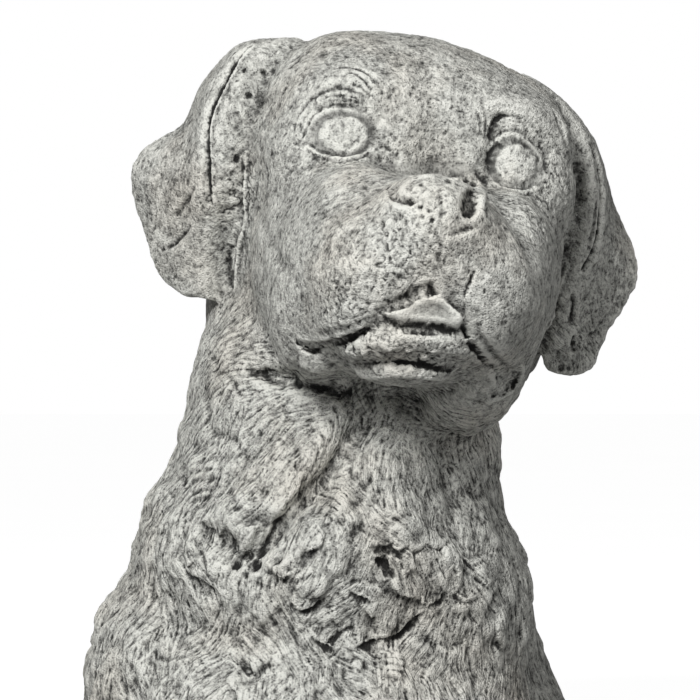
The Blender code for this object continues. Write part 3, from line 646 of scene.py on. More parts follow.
shoulder_curl = ((-38.9, 23.8), (-34.6, 18.8), (-30.6, 21.7), (-27, 22))
clay.stroke(shoulder_curl, 2.0, -2.6, taper=0.4)
clay.look_again()

# %% [markdown]
# ## Which way the coat lies
# Fur reads as fur because neighbouring hairs agree. One function says which way the coat lies at
# any place: away from the jaw and down over the neck and chest, down and outwards over the face,
# and straight down the ears. The tufts, the combed strokes and the stone's finest lines all ask
# this same function.

# %% The lie of the coat
THROAT = np.array((6, -24, 120))
THROAT_REACH = 62


def lie_on_body(places):
    """Away from the throat near the jaw, then down the chest with a slow wave."""
    away = (places - THROAT) * (1, 0.4, 1)
    away[:, 2] = np.minimum(away[:, 2], 0.1 * np.abs(away[:, 0]))
    near = bell(np.linalg.norm(away, axis=1, keepdims=True) / THROAT_REACH)
    lie = 2.6 * near * unit_vector(away) + (1 - 0.9 * near) * np.array([-0.06, 0, -1.0])
    lie[:, 0] += 0.8 * np.sin(places[:, 2] * 0.10 + places[:, 0] * 0.07)
    lie[:, 0] += 0.6 * np.sin(places[:, 0] * 0.17 - places[:, 2] * 0.06 + 2)
    return lie


def lie_on_head(places):
    """Down and inwards over the forehead, down and outwards over the cheeks."""
    across, forward, up = ((places - EYES_AT) @ HEAD.T).T
    outwards = np.where(up < 0, 0.6, -0.4)[:, None] * ACROSS * (across / 22).clip(-1, 1)[:, None]
    back = -0.5 * FORWARD * ((forward + 20) / 60).clip(0, 1)[:, None]
    return outwards + back - UP


def share_on_head(places):
    """1 on the head and ears, 0 on the neck and body."""
    jaw = (places - on_head(0, -10, -78)) @ unit_vector(UP * 0.8 + FORWARD * 0.6)
    over_neck = (places[:, 2] - 142) / 12
    return np.maximum(jaw / 10 + 0.5, over_neck).clip(0, 1)


def lie_of_coat(places, facing):
    head = share_on_head(places)[:, None]
    lie = lie_on_head(places) * head + lie_on_body(places) * (1 - head)
    return unit_vector(lie - facing * (lie * facing).sum(1, keepdims=True))


# %% [markdown]
# ## Tufts of fur
# The chest and neck are covered with overlapping tufts, each a lock of hair with a raised tip. A
# lock is one small closed shape, made once. Geometry Nodes is the right tool to repeat it: points
# are spread over the coat with an even spacing, more thinly where the coat is smooth, and each one
# carries a lock that is turned to the lie of the coat and given a little chance in size, pitch and
# roll. The instances are realized, because the next remesh has to weld them to the body. A straight
# lock can stand off a round chest like a thorn, so what stands too far off is then pulled in.

# %% One lock of hair
def lock_of_hair():
    """A pointed lock from its root at 0 to its tip at 1 along Y, one unit wide, with three ridges."""
    bm = bmesh.new()
    bmesh.ops.create_uvsphere(bm, u_segments=14, v_segments=9, radius=1.0,
                              matrix=Matrix.Rotation(math.pi / 2, 4, "X"))
    for vert in bm.verts:
        x, y, z = vert.co
        t = (y + 1) / 2
        ridges = 0.13 * math.cos(9.4 * x) * math.sin(math.pi * min(t * 1.1, 1))
        vert.co = (0.5 * x * (1 - 0.45 * t * t) + 0.10 * math.sin(2.6 * t), t, (z + ridges) * 0.5)
    bmesh.ops.recalc_face_normals(bm, faces=bm.faces[:])
    lock = new_object("lock_of_hair", bm)
    lock.hide_render = True
    return lock


# %% A tree that lays the locks on the coat
def add_node(tree, kind, *links, **settings):
    """Adds a node, sets its properties, then fills its inputs from values or other nodes' outputs."""
    node = tree.nodes.new(kind)
    for name, value in settings.items():
        setattr(node, name, value)
    for name, source in links:
        socket = node.inputs[name]
        if isinstance(source, bpy.types.NodeSocket):
            tree.links.new(source, socket)
        else:
            socket.default_value = source
    return node


def tufts_tree():
    tree = bpy.data.node_groups.new("Tufts on the coat", "GeometryNodeTree")
    face = tree.interface
    face.new_socket("Coat", in_out="INPUT", socket_type="NodeSocketGeometry")
    face.new_socket("Lock", in_out="INPUT", socket_type="NodeSocketObject")
    for name in ("Spacing", "Length", "Width", "Height", "Spread"):
        face.new_socket(name, in_out="INPUT", socket_type="NodeSocketFloat")
    face.new_socket("Seed", in_out="INPUT", socket_type="NodeSocketInt")
    face.new_socket("Stone", in_out="INPUT", socket_type="NodeSocketMaterial")
    face.new_socket("Tufts", in_out="OUTPUT", socket_type="NodeSocketGeometry")
    given = tree.nodes.new("NodeGroupInput").outputs
    depth = add_node(tree, "GeometryNodeInputNamedAttribute", ("Name", "depth")).outputs["Attribute"]
    lie = add_node(tree, "GeometryNodeInputNamedAttribute", ("Name", "lie"), data_type="FLOAT_VECTOR")
    points = add_node(tree, "GeometryNodeDistributePointsOnFaces", ("Mesh", given["Coat"]),
                      ("Distance Min", given["Spacing"]), ("Density Max", 0.05),
                      ("Density Factor", depth), ("Seed", given["Seed"]), distribute_method="POISSON")
    strayed = add_node(tree, "FunctionNodeRandomValue", (0, (-1, -1, -1)), (1, (1, 1, 1)),
                       ("Seed", given["Seed"]), data_type="FLOAT_VECTOR")
    stray = add_node(tree, "ShaderNodeVectorMath", (0, strayed.outputs[0]), ("Scale", given["Spread"]),
                     operation="SCALE")
    way = add_node(tree, "ShaderNodeVectorMath", (0, lie.outputs["Attribute"]), (1, stray.outputs[0]),
                   operation="ADD")
    turned = add_node(tree, "FunctionNodeAxesToRotation", ("Primary Axis", points.outputs["Normal"]),
                      ("Secondary Axis", way.outputs[0]), primary_axis="Z", secondary_axis="Y")
    tip_up = add_node(tree, "FunctionNodeRandomValue", (0, (-0.12, -0.2, 0)), (1, (0.0, 0.2, 0)),
                      ("Seed", 11), data_type="FLOAT_VECTOR")
    tipped = add_node(tree, "FunctionNodeRotateRotation", ("Rotation", turned.outputs[0]),
                      ("Rotate By", tip_up.outputs[0]), rotation_space="LOCAL")
    tall = add_node(tree, "ShaderNodeMath", (0, given["Height"]), (1, depth), operation="MULTIPLY")
    size = add_node(tree, "ShaderNodeCombineXYZ", ("X", given["Width"]), ("Y", given["Length"]),
                    ("Z", tall.outputs[0]))
    chance = add_node(tree, "FunctionNodeRandomValue", (0, (0.7, 0.7, 0.6)), (1, (1.3, 1.3, 1.3)),
                      ("Seed", 12), data_type="FLOAT_VECTOR")
    scale = add_node(tree, "ShaderNodeVectorMath", (0, size.outputs[0]), (1, chance.outputs[0]),
                     operation="MULTIPLY")
    lock = add_node(tree, "GeometryNodeObjectInfo", ("Object", given["Lock"]))
    laid = add_node(tree, "GeometryNodeInstanceOnPoints", ("Points", points.outputs["Points"]),
                    ("Instance", lock.outputs["Geometry"]), ("Rotation", tipped.outputs[0]),
                    ("Scale", scale.outputs[0]))
    real = add_node(tree, "GeometryNodeRealizeInstances", ("Geometry", laid.outputs[0]))
    stone = add_node(tree, "GeometryNodeSetMaterial", ("Geometry", real.outputs[0]),
                     ("Material", given["Stone"]))
    add_node(tree, "NodeGroupOutput", ("Tufts", stone.outputs[0]))
    return tree


# %% How deep the fur is
def depth_of_fur(places):
    """From 0 on the head to 1 on the front of the chest; the back is smoother."""
    x, y, z = places.T
    return ((104 - z - 0.15 * x) / 16).clip(0, 1) * ((78 - y) / 40).clip(0.35, 1)


def store(mesh, name, values):
    """Keeps a number or a vector for each vertex under that name."""
    kind, field = ("FLOAT_VECTOR", "vector") if values.ndim == 2 else ("FLOAT", "value")
    kept = mesh.attributes.get(name) or mesh.attributes.new(name, kind, "POINT")
    kept.data.foreach_set(field, values.astype(np.float32).ravel())


# %% Lay the tufts
def laid_tufts(coat, lock, material, **sizes):
    """A plain mesh of tufts over the coat, from the tree's named inputs."""
    carrier = bpy.data.objects.new("tufts", coat.data.copy())
    bpy.context.scene.collection.objects.link(carrier)
    tree = tufts_tree()
    nodes = carrier.modifiers.new("tufts", "NODES")
    nodes.node_group = tree
    for socket in tree.interface.items_tree:
        if socket.in_out == "INPUT" and socket.name in sizes:
            nodes[socket.identifier] = sizes[socket.name]
        elif socket.name == "Lock":
            nodes[socket.identifier] = lock
        elif socket.name == "Stone":
            nodes[socket.identifier] = material
    apply_modifiers(carrier)
    return carrier


def hold_close(tufts, most):
    """Pulls in what stands further off the coat than that, so that no tip is left in the air."""
    places = vertex_values(tufts.data, "co")
    pulled = 0
    for index, place in enumerate(places):
        _, near, facing, _ = bust.closest_point_on_mesh(place)
        off = Vector(place) - near
        if off.length > most and off.dot(facing) > 0:
            places[index] = near + off * (most / off.length)
            pulled += 1
    set_vertices(tufts.data, places)
    print("corners pulled in to the coat:", pulled, "of", len(places))


MOST_OFF_COAT = 2.4
stone = bpy.data.materials.new("cast_stone")
store(bust.data, "depth", depth_of_fur(clay.places))
store(bust.data, "lie", lie_of_coat(clay.places, clay.facing))
lock = lock_of_hair()
tufts = laid_tufts(bust, lock, stone, Spacing=7.0, Length=15.0, Width=11.0, Height=2.0, Spread=0.6,
                   Seed=5)
print("tufts laid:", len(tufts.data.polygons), "faces")
hold_close(tufts, MOST_OFF_COAT)
join(bust, [tufts])
bpy.data.objects.remove(lock)

# %% [markdown]
# ## The fine skin
# Now the body, ears and tufts are remeshed once more into one closed skin, finer than before. A
# light relaxing takes the stair steps of the voxels away. The small features come only now,
# because this skin is fine enough to hold them.

# %% One fine skin
FINE_VOXEL = 0.78
remesh(bust, FINE_VOXEL)
clay = Clay(bust)
clay.relax(2)
clay.relax(6, weight=1 - share_on_head(clay.places))
print("fine skin of", len(clay.places), "vertices")

# %% [markdown]
# ## The eyes
# The carver's eye is blank: a low ball between two lids, with a raised rough disc for the iris.
# Each eye is an opening pressed in a little, the disc raised in it, a sharp crease over the upper
# lid and a thin ridge between two grooves for the lower lid.

# %% More carving tools
# How smooth each vertex is, and how far it is painted pale, as rubbed stone and as painted highlight: the
# stone's finish reads both later
smoothness = np.zeros(len(clay.places))
rubbing_and_painted_highlight = np.zeros(len(clay.places))


def carve(*cuts, taper=0.3, way=None):
    """Several strokes, each given as its line, its width and its height."""
    for line, width, height in cuts:
        clay.stroke(line, width, height, taper=taper, way=way)


def oval(middle, half, count=14):
    """Points round an oval, seen from the front."""
    turns = np.arange(count) * 2 * math.pi / count
    return [(middle[0] + half[0] * math.cos(t), middle[1] + half[1] * math.sin(t)) for t in turns]


def higher(line, rise):
    return [(x, z + rise) for x, z in line]


# %% Both eyes
LID_GROOVE = 1.25
WRINKLES_OVER_LID = (1.7, 3.2, 5.0)


def carve_eye(disc, half, opening, crease, lower_lid):
    near, inside = clay.patch(opening, -0.9, edge=1.8, crown=1.3)
    off = (clay.places[near][:, ::2] - disc) / (half[0] + 3.0, half[1] + 2.2)
    smoothness[near] = np.maximum(smoothness[near], step(inside, 2) * step(1 - np.hypot(*off.T), 9))
    near, inside = clay.patch(oval(disc, half), 0.75, edge=0.5, crown=0.4, ragged=0.25)
    disc_share = step(inside, 3)
    # The disc is painted paler, partly as rubbed stone and partly as painted highlight
    rubbing_and_painted_highlight[near] = 0.4 * disc_share
    smoothness[near] *= 1 - disc_share
    carve((crease, 1.0, -0.7), (higher(crease, -1.6), 0.9, 0.6))
    carve(*((higher(crease, rise), 0.6, -0.45) for rise in WRINKLES_OVER_LID))
    carve((lower_lid, 0.8, 0.8), (higher(lower_lid, LID_GROOVE), 0.6, -0.5),
          (higher(lower_lid, -LID_GROOVE), 0.6, -0.6), (higher(lower_lid, -2.6), 0.6, -0.4))


right_disc, left_disc = ((-2.3, 210.2), (58.9, 200.1))
right_opening = (
    (-16.7, 207.7), (-14.5, 212.7), (-10.6, 217.7), (-3.5, 220.5), (2.5, 219.8), (7.1, 215.9),
    (9.2, 209.5), (5.7, 204.9), (-2.1, 202.8), (-10.6, 204.6),
)
over_right_lid = ((-17, 209.2), (-13.1, 217.3), (-8.5, 220.5), (-3.2, 221.2), (1.4, 220.5), (6, 218.4))
under_right_lid = ((-16, 206.7), (-10.6, 203.5), (-2.5, 201.9), (3.5, 203.1), (8.2, 206))
carve_eye(right_disc, (8.5, 6.5), right_opening, over_right_lid, under_right_lid)
left_opening = (
    (48.9, 195.7), (49.3, 202.8), (52.1, 207.7), (55.7, 209.9), (60.3, 210.2), (64.9, 207.7),
    (68.4, 202.4), (70.6, 194.3), (65.2, 191.8), (58.1, 191.4), (52.5, 192.9),
)
over_left_lid = (
    (48.9, 206.3), (52.5, 210.8), (55.3, 212), (58.9, 212.2), (63.1, 210.2), (67.4, 205.3), (69.5, 200.7),
    (70.9, 194.6),
)
under_left_lid = ((50.3, 193.9), (56.7, 190.7), (62, 190.2), (69.8, 192.9))
carve_eye(left_disc, (7.2, 6.6), left_opening, over_left_lid, under_left_lid)
clay.look_again()

# %% Creases and wrinkles round the eyes
carve(
    # In the inner corner of the left eye, and under its brow
    (((50, 196.4), (49.3, 202.1), (50.7, 205.6), (53.5, 207.7)), 0.9, -0.9),
    (((49.6, 208.5), (50.7, 213.1), (52.5, 216.3), (56.4, 218)), 1.1, -0.9),
    # The outer rim of the right upper lid
    (((-12.8, 218.7), (-15.6, 214.1), (-17.7, 208.5)), 0.7, 0.6),
    (((-18.1, 214.8), (-16.7, 210.6), (-19.1, 206.3)), 1.0, -0.9),
    # Wrinkles of the right brow
    (((-4.3, 234.7), (0.7, 234.7), (5.7, 232.6), (9.2, 229)), 0.7, -1.0),
    (((-3.5, 231.1), (0.7, 232.6), (5, 229.7), (7.8, 225.5)), 0.7, -0.9),
    (((0.7, 228.3), (4.3, 226.9), (7.1, 223.3)), 0.6, -0.7),
    (((-17.7, 217.7), (-14.5, 222.3), (-9.2, 225.8), (-2.8, 227.2), (2.1, 225.8)), 0.8, -0.7),
    (((-19.9, 210.6), (-19.1, 215.5), (-16.3, 220.5), (-12.8, 224.1)), 0.7, -0.6),
    # Wrinkles between the eyes
    (((47.5, 219.8), (48.6, 214.8), (48.2, 209.2)), 0.6, -0.7),
    (((45.4, 218.4), (46.4, 214.1), (46.1, 210.6)), 0.6, -0.6),
    (((11.6, 207.1), (14.8, 204.3), (17.6, 201.5)), 0.7, -0.6),
)

# %% [markdown]
# ## The nose
# The nose leather is a low blunt pad. Its upper edge is ragged, its edge against the left cheek is
# cut deep, and on the other side it runs out into the muzzle. The nostril on the dog's right is a
# hollow with a pale lip below it, and the one on its left is an upright slit beside a raised rim.

# %% Nose leather and nostrils
band_over_nose = (
    (12.5, 192.8), (14.2, 197), (18.7, 200.1), (31.1, 201.1), (42.2, 199.7), (44.3, 197.6), (37.4, 195.9),
    (28, 195.2), (19.4, 194.5),
)
near, inside = clay.patch(band_over_nose, -0.3)
smoothness[near] = np.maximum(smoothness[near], 0.6 * step(inside, 3))
top_of_nose = (
    (13.1, 188), (14.9, 191.4), (19, 193.8), (23.5, 194.2), (28, 194.7), (32.9, 194.4), (37.4, 194.9),
    (41.5, 194.9),
)
clay.stroke(top_of_nose, 1.8, -0.9, taper=0.3, under=(1.6, 2.6))
beside_nose = ((44.3, 196.3), (46.7, 193.5), (47.7, 189.7), (47.6, 185.5), (46.3, 181.4))
clay.stroke(beside_nose, 1.7, -1.9, taper=0.3, under=(0.8, 2.4))
under_nose = ((31.1, 172.7), (35.3, 173.4), (39.4, 174.5), (43.6, 176.2), (46.3, 179.3))
clay.stroke(under_nose, 2.0, -0.9, taper=0.6, under=(0.3, 2.8))
clay.look_again()
carve(
    # The groove down the middle, the lip of the right nostril and the rim of the left one
    (((30.1, 191.4), (31.1, 187.3), (31.5, 183.1), (31.1, 179), (30.1, 174.1)), 0.9, -0.6),
    (((14.9, 183.1), (18, 182.6), (21.4, 183.5)), 1.4, 1.2),
    (((45.3, 189.3), (45.8, 186.2), (45.5, 182.8)), 1.3, 1.5),
)
right_nostril = (
    (12.8, 190.7), (15.2, 191.8), (17.6, 191.1), (16.9, 189), (18.7, 186.6), (22.1, 185.5), (21.1, 183.8),
    (17.3, 184.5), (14.2, 186.2),
)
clay.patch(right_nostril, 3.6, edge=0.9, way=inwards, ragged=0.3)
left_nostril = (
    (39.8, 188.7), (41.9, 189.7), (43.6, 188), (43.9, 184.5), (43.2, 181.4), (41.2, 179.7), (39.4, 181.4),
    (39.1, 185.2),
)
clay.patch(left_nostril, 6.0, edge=0.9, way=inwards, ragged=0.3)
pits_in_nose = (
    (24.2, 183.1), (27, 181.7), (28, 179), (24.9, 180), (33.6, 192.8), (36.3, 194.2), (38.7, 193.1),
    (41.2, 194.2), (43.6, 192.8), (45.3, 190.7), (37.4, 191.4), (39.4, 190.7),
)
clay.dots(pits_in_nose, 0.9, -1.3)
knobs_on_nose = (
    (35.3, 192.8), (37.7, 194.5), (40.1, 192.1), (42.5, 191.8), (25.9, 191.4), (22.8, 189.3),
    (26.3, 187.3), (33.2, 188.7), (35.3, 185.9),
)
clay.dots(knobs_on_nose, 1.1, 0.8)
clay.look_again()

# %% [markdown]
# ## Sharp edges of the mouth
# Now the skin can hold an edge. The tongue is a thin wedge: its upper face is smooth, and its front
# face is cut back dark under the edge. The gaps of the mouth are cut straight back into the head,
# and the philtrum runs down to a small hollow above the tongue.

# %% Tongue, gaps and philtrum
TONGUE_DROP = 10.0
TONGUE_REACH = 2.0
tongue = (
    (11.8, 146.1), (18.7, 148.2), (23.6, 151), (27.7, 152), (31.6, 151.3), (35.4, 148.2), (38.5, 145.1),
    (37.1, 141.3), (33.3, 142), (28.4, 143), (22.2, 143.7), (16.3, 143.7),
)
near, inside = clay.patch(tongue, 2.2, edge=0.8, way=FORWARD, ragged=0.2)
down = ((np.array(tongue)[:, 1].max() - clay.places[near, 2]) / TONGUE_DROP).clip(0, 1)
clay.places[near] += FORWARD * (TONGUE_REACH * down * step(inside, 5))[:, None]
smoothness[near] = np.maximum(smoothness[near], 0.7 * step(inside, 3))
# The tongue's top is painted pale: a painted highlight against the shade it lies in, and rubbed stone
rubbing_and_painted_highlight[near] = np.maximum(rubbing_and_painted_highlight[near], 1.3 * step(inside, 3))
front_of_tongue = (
    (14.6, 143.4), (22.2, 143.2), (28.4, 142.5), (33.3, 141.3), (36.8, 140.6), (29.8, 139.4),
    (23.6, 140.2), (18, 141.3),
)
clay.patch(front_of_tongue, 1.2, edge=0.9, way=inwards, ragged=0.2)
over_chin = (
    (-1.7, 130.2), (5.6, 129.6), (13.6, 130.3), (20.2, 130), (27.2, 128.8), (32.4, 127.2), (35.9, 126.7),
)
mouth_gaps = (
    (((-18.8, 136.8), (-15.7, 136.1), (-9.8, 135.7), (-3.1, 137), (1.7, 138.9), (6.3, 142)), 1.2, 5.0),
    (((-17.1, 135.4), (-13.6, 134.3), (-9.8, 134)), 1.6, 4.0),
    (((38.9, 142.7), (40.9, 138.2)), 1.0, 3.4),
    (((41.1, 137.1), (44.6, 133.3), (48.4, 129.3), (52.3, 127.2)), 1.2, 4.2),
    (over_chin, 0.9, 2.2),
    (((-0.3, 134), (6.3, 134.7), (11.8, 133.3)), 0.8, 1.2),
    (((-1.4, 135.1), (-2.8, 131.2), (-1.4, 125.6)), 1.3, 3.0),
    (((16.7, 141.6), (23.3, 140.3), (29.2, 139.4), (35.4, 139.9)), 0.8, 1.2),
    (((27.5, 158), (28.5, 155.2), (29.2, 152.8)), 1.7, 3.6),
    (((26.4, 154.5), (28.2, 152.8)), 1.4, 1.6),
)
carve(*mouth_gaps, taper=0.25, way=inwards)
carve(
    # The philtrum, the smooth valley from its end, and the edge over the right gap
    (((29.8, 173.5), (30.9, 168.7), (29.8, 161.7), (28.4, 156.9)), 0.9, -0.45),
    (((25.7, 155.5), (20.1, 152.4), (13.9, 149.6), (9.7, 146.5)), 1.6, -1.3),
    (((-18.4, 138.3), (-11.8, 138.2), (-5.2, 139.2), (0.7, 141), (5.6, 143.7)), 1.4, 1.5),
    # Grooves and edges along the left lip, and the rim of the left jowl
    (((43, 161.4), (41, 157), (39, 152.5)), 0.7, -1.3),
    (((43.8, 143.1), (45.3, 138.2), (48.6, 134), (51.4, 130.5), (55.4, 127.7), (58.9, 126.2)), 1.5, -0.9),
    (((41.8, 139.6), (45, 135.4), (49.1, 130.9), (53.3, 128.1)), 1.1, 0.5),
    (((60.1, 129.1), (60.8, 126.1), (59, 122.8), (56.6, 119.6), (54.1, 117.8), (47.8, 115.6)), 0.9, 1.2),
)
jaw_corner = (
    (-34.7, 125.5), (-29.8, 127.3), (-24.1, 128.7), (-18.8, 130.1), (-17, 126.2), (-20.5, 122.7),
    (-27.6, 122.7),
)
clay.patch(jaw_corner, 3.6, edge=1.4, way=inwards)
under_corner = ((-37.5, 127.6), (-28.3, 124.8), (-19.1, 122.7), (-9.9, 120.9), (0.7, 118.4))
clay.stroke(under_corner, 2.3, 4.2, taper=0.4, way=inwards)
jowl_hollow = ((50.6, 127.7), (59.4, 126.1), (57.6, 121.4), (54.1, 118.5), (49.9, 118.2), (52, 121.4))
clay.patch(jowl_hollow, 3.0, edge=0.8, way=inwards)
knobs_on_lower_lip = (
    (-0.7, 133.3), (2.1, 136.1), (4.5, 133.3), (7.7, 135.4), (10.4, 132.6), (13.2, 134.7), (16.7, 132.3),
    (20.2, 134), (25.7, 131.9), (31.3, 131.6), (0.7, 130.5), (28.9, 134),
)
clay.dots(knobs_on_lower_lip, 1.2, 1.0)
knobs_on_upper_lip = (
    (-4.9, 147.2), (-1.4, 149.3), (2.1, 146.5), (-2.8, 143.7), (0.7, 143.7), (-6.3, 142.3), (4.2, 149.3),
)
clay.dots(knobs_on_upper_lip, 1.4, 0.7)
knobs_on_chin = ((9, 127.7), (13.2, 127), (17.7, 128.1), (21.6, 126.7), (25.7, 127.4), (29.9, 126.3))
clay.dots(knobs_on_chin, 1.3, 0.7)
clay.look_again()

# %% [markdown]
# ## Edges of the ears, and marks on the chest
# The rubbed rim of the ear's fold is the sharpest line on the bust, so it is raised on one side
# and cut on the other. The chest has its own marks: curled edges where tufts overlap, a cluster of
# holes, short grooves and one small round pip.

# %% Rims and edges of the ears
right_fold = (
    (-34.9, 244.2), (-37.8, 241.3), (-41, 236.6), (-43.9, 230.5), (-47.2, 224), (-49.3, 219.3),
    (-50.2, 212.5), (-50.2, 206), (-50, 195.2), (-49.3, 186.2),
)
clay.stroke(right_fold, 1.1, 1.5, taper=0.2, under=(-2.2, 0.9))
left_fold = (
    (83.8, 163), (86.7, 167.7), (88.9, 172.5), (90.4, 179), (90.7, 185.9), (90.9, 192.8), (90, 199.3),
    (87.1, 208.8),
)
clay.stroke(left_fold, 1.0, 0.8, taper=0.3, under=(-3.0, 1.8))
front_of_right_ear = (
    (-37.4, 206), (-37.3, 195.9), (-37.6, 189.1), (-37.4, 179.4), (-39.6, 172.5), (-41, 163.9),
    (-41.8, 154.9),
)
carve(
    # Front edges of both ears
    (front_of_right_ear, 0.7, 1.2),
    (((-27.7, 222.6), (-29.5, 219.3), (-31.1, 215.7)), 0.7, 0.9),
    (((73.6, 150.2), (76.7, 157.8), (79.7, 165.7)), 0.9, 1.2),
    (((69, 138.3), (71.3, 144.8), (73.4, 149.8)), 0.8, 0.8),
    # Hollows and grooves of the right lobe
    (((-55.4, 194.5), (-57.6, 190.2), (-59.8, 186.6), (-63.4, 182.2)), 1.0, -1.0),
    (((-57.6, 179.4), (-60.8, 175.8), (-64.1, 172.5), (-68.4, 170)), 1.0, -1.2),
    (((-42.8, 172.5), (-43.9, 165.7), (-43.2, 156.7)), 1.6, -1.6),
    (((-40.3, 171.4), (-41.4, 165.7), (-42.8, 159.2)), 0.7, -0.8),
    # Grooves in the left ear
    (((80.9, 154.3), (81.3, 148.5), (80.9, 142.7)), 1.0, -1.6),
    (((81.3, 139.8), (81.6, 133.3)), 0.9, -1.2),
    (((71.6, 221.8), (74.9, 215.4), (77.4, 206)), 1.1, -1.2),
)
holes_by_right_fold = (
    (-31.3, 234.3), (-21.6, 235.9), (-20.2, 238.8), (-36.4, 225.8), (-38.5, 235.2), (-40.7, 202.6),
    (-24.1, 226.9), (-27, 229.8),
)
clay.dots(holes_by_right_fold, 1.1, -1.5)
knobs_by_right_fold = (
    (-42.5, 199.5), (-40.3, 196.6), (-43.2, 192.3), (-39.2, 191.6), (-41.8, 187.6), (-39.6, 183.7),
    (-42.8, 182.2), (-40.7, 180.1),
)
clay.dots(knobs_by_right_fold, 1.6, 0.9)
clay.look_again()

# %% Curled edges and grooves on the chest
scallops = (
    ((7.9, 66.1), (11.1, 63.6), (14.3, 65.4)),
    ((14.3, 64.7), (17.1, 62.9), (20.4, 65.4)),
    ((20.4, 65.1), (23.2, 62.9), (26.4, 65.1)),
    ((26.4, 65.8), (31.1, 64), (35.7, 67.2)),
    ((12.5, 61.5), (13.6, 56.1), (16.8, 54.7)),
    ((0, 49), (3.6, 46.5), (7.9, 45.4)),
    ((23.6, 45.1), (27.9, 43.3), (32.5, 45.4), (33.2, 48.3)),
    ((-20.7, 44.7), (-17.9, 41.9), (-13.2, 42.6), (-10.7, 45.4)),
    ((-13.2, 33.3), (-10.7, 30.4), (-6.4, 29)),
    ((-52.9, 73.3), (-50, 71.1), (-46.8, 70.4)),
    ((-59, 58.4), (-56.9, 54.1), (-52.6, 53.4)),
    ((39.6, 59.8), (43.9, 57.7), (48.2, 59.8)),
    ((36.7, 47.6), (41, 44.7), (46.1, 46.2)),
)
for line in scallops:
    clay.stroke(line, 1.6, 0.9, taper=0.4, under=(-0.9, 1.6))
long_edge = ((0.7, 28.6), (5.7, 30.1), (11.8, 32.2), (16.4, 32.9), (19.6, 35.8), (25, 40.1), (28.6, 42.2))
clay.stroke(long_edge, 1.8, 0.9, taper=0.4, under=(-1.0, 1.6))
carve(
    (((3.6, 108.8), (-1.8, 101.6), (-10.1, 89.4), (-16.9, 84.3)), 1.2, -0.6),
    (((-16.9, 84.3), (-23.4, 75.7), (-29.5, 65.6), (-34.2, 58.4)), 1.0, -1.0),
    (((-38.6, 24.7), (-34.3, 19.7), (-30.4, 22.2), (-26.4, 22.9)), 1.3, -1.4),
    (((-7.1, 30.4), (-1.8, 34.7), (2.1, 35.8)), 0.9, -1.2),
    (((7.9, 60.4), (12.1, 58.3), (15, 54.7)), 0.9, -1.3),
)
ladder = ((-57.6, 86.5), (-52.6, 87.9), (-46.1, 88.6))
carve(*((higher(ladder, rise), 0.8, -0.45) for rise in (-6.4, -3.2, 0, 3.4, 6.4)))
under_edge = ((7.9, 28.3), (17.9, 26.9), (26.4, 21.9), (30.7, 14.7))
carve(*((higher(under_edge, rise), 0.6, -0.6) for rise in (0, -2.2, -4.4, -6.6)))

# %% Holes, knobs and the pip on the chest
holes = ((-40.4, 57.6), (-33.6, 57.9), (-25.4, 60.1))
clay.dots(holes, 1.7, -2.2)
small_holes = ((-37.1, 54.4), (-29.3, 55.4), (-21.8, 56.9), (-31.4, 61.9))
clay.dots(small_holes, 1.2, -1.2)
knobs_round_holes = (
    (-40.4, 60.4), (-32.9, 60.4), (-29.3, 58.6), (-37.1, 59), (-43.6, 56.1), (-36.8, 56.5), (-23.6, 58.3),
    (-33.6, 54.4),
)
clay.dots(knobs_round_holes, 1.4, 1.1)
clay.look_again()
pip = (2.5, 22.6)
clay.patch(oval(pip, (1.9, 1.9)), 1.1, edge=0.4, ragged=0.1)
clay.look_again()

# %% [markdown]
# ## Combed hair and pits
# Over the tufts the carver drew a comb, and the casting added pits. Both are small random heights
# from the smooth noise of the tools. For hair it is stretched along the coat. The coat bends, so it
# is divided into many short locks, each with straight hair of its own, and two layers of locks fade
# into each other so that no border shows.

# %% Short locks that cover the coat
def spread(places, spacing, random, tries=16000):
    """Picks places at random, each at least the spacing from those already picked."""
    order = random.permutation(len(places))[:tries]
    waiting = places[order]
    free = np.ones(len(order), bool)
    picked = []
    for turn, index in enumerate(order):
        if free[turn]:
            picked.append(index)
            free &= ((waiting - places[index]) ** 2).sum(1) > spacing ** 2
    return np.array(picked)


class Locks:
    """Short locks of straight hair, each with its middle and its own two directions."""

    def __init__(self, places, facing, spacing, seed):
        random = np.random.default_rng(seed)
        picked = spread(places, spacing, random)
        self.spacing = spacing
        self.middle = places[picked]
        chance = random.normal(0, 0.16, self.middle.shape)
        self.down = lie_of_coat(self.middle, facing[picked]) + chance
        self.down = unit_vector(self.down - facing[picked] * (self.down * facing[picked]).sum(1)[:, None])
        self.across = np.cross(self.down, facing[picked])
        self.start = random.uniform(0, 400, (len(picked), 2))
        self.finder = KDTree(len(picked))
        for index, middle in enumerate(self.middle):
            self.finder.insert(middle, index)
        self.finder.balance()

    def nearest(self, points):
        """The lock that each point belongs to, and how far inside the lock it is, up to 1."""
        pairs = [self.finder.find_n(point, 2) for point in points]
        index = np.array([first[1] for first, second in pairs])
        inside = np.array([second[2] - first[2] for first, second in pairs])
        return index, (inside / (0.6 * self.spacing)).clip(0.02, 1)

    def coordinates(self, points, index):
        """Places across and down the hair of the lock."""
        off = points - self.middle[index]
        local = [(off * way[index]).sum(1) for way in (self.across, self.down)]
        return np.stack(local, 1) + self.start[index]


layers = [Locks(clay.places, clay.facing, 13.0, seed) for seed in (21, 22)]
print("locks in each layer:", [len(layer.middle) for layer in layers])

# %% Comb the fur and pit the stone
HAIR_WIDTH = 1.8
HAIR_LENGTH = 12.0


def strands(noise):
    """Round strands with narrow grooves between them, from a noise about zero."""
    return np.minimum(np.abs(noise) * 4, 1) - 0.68


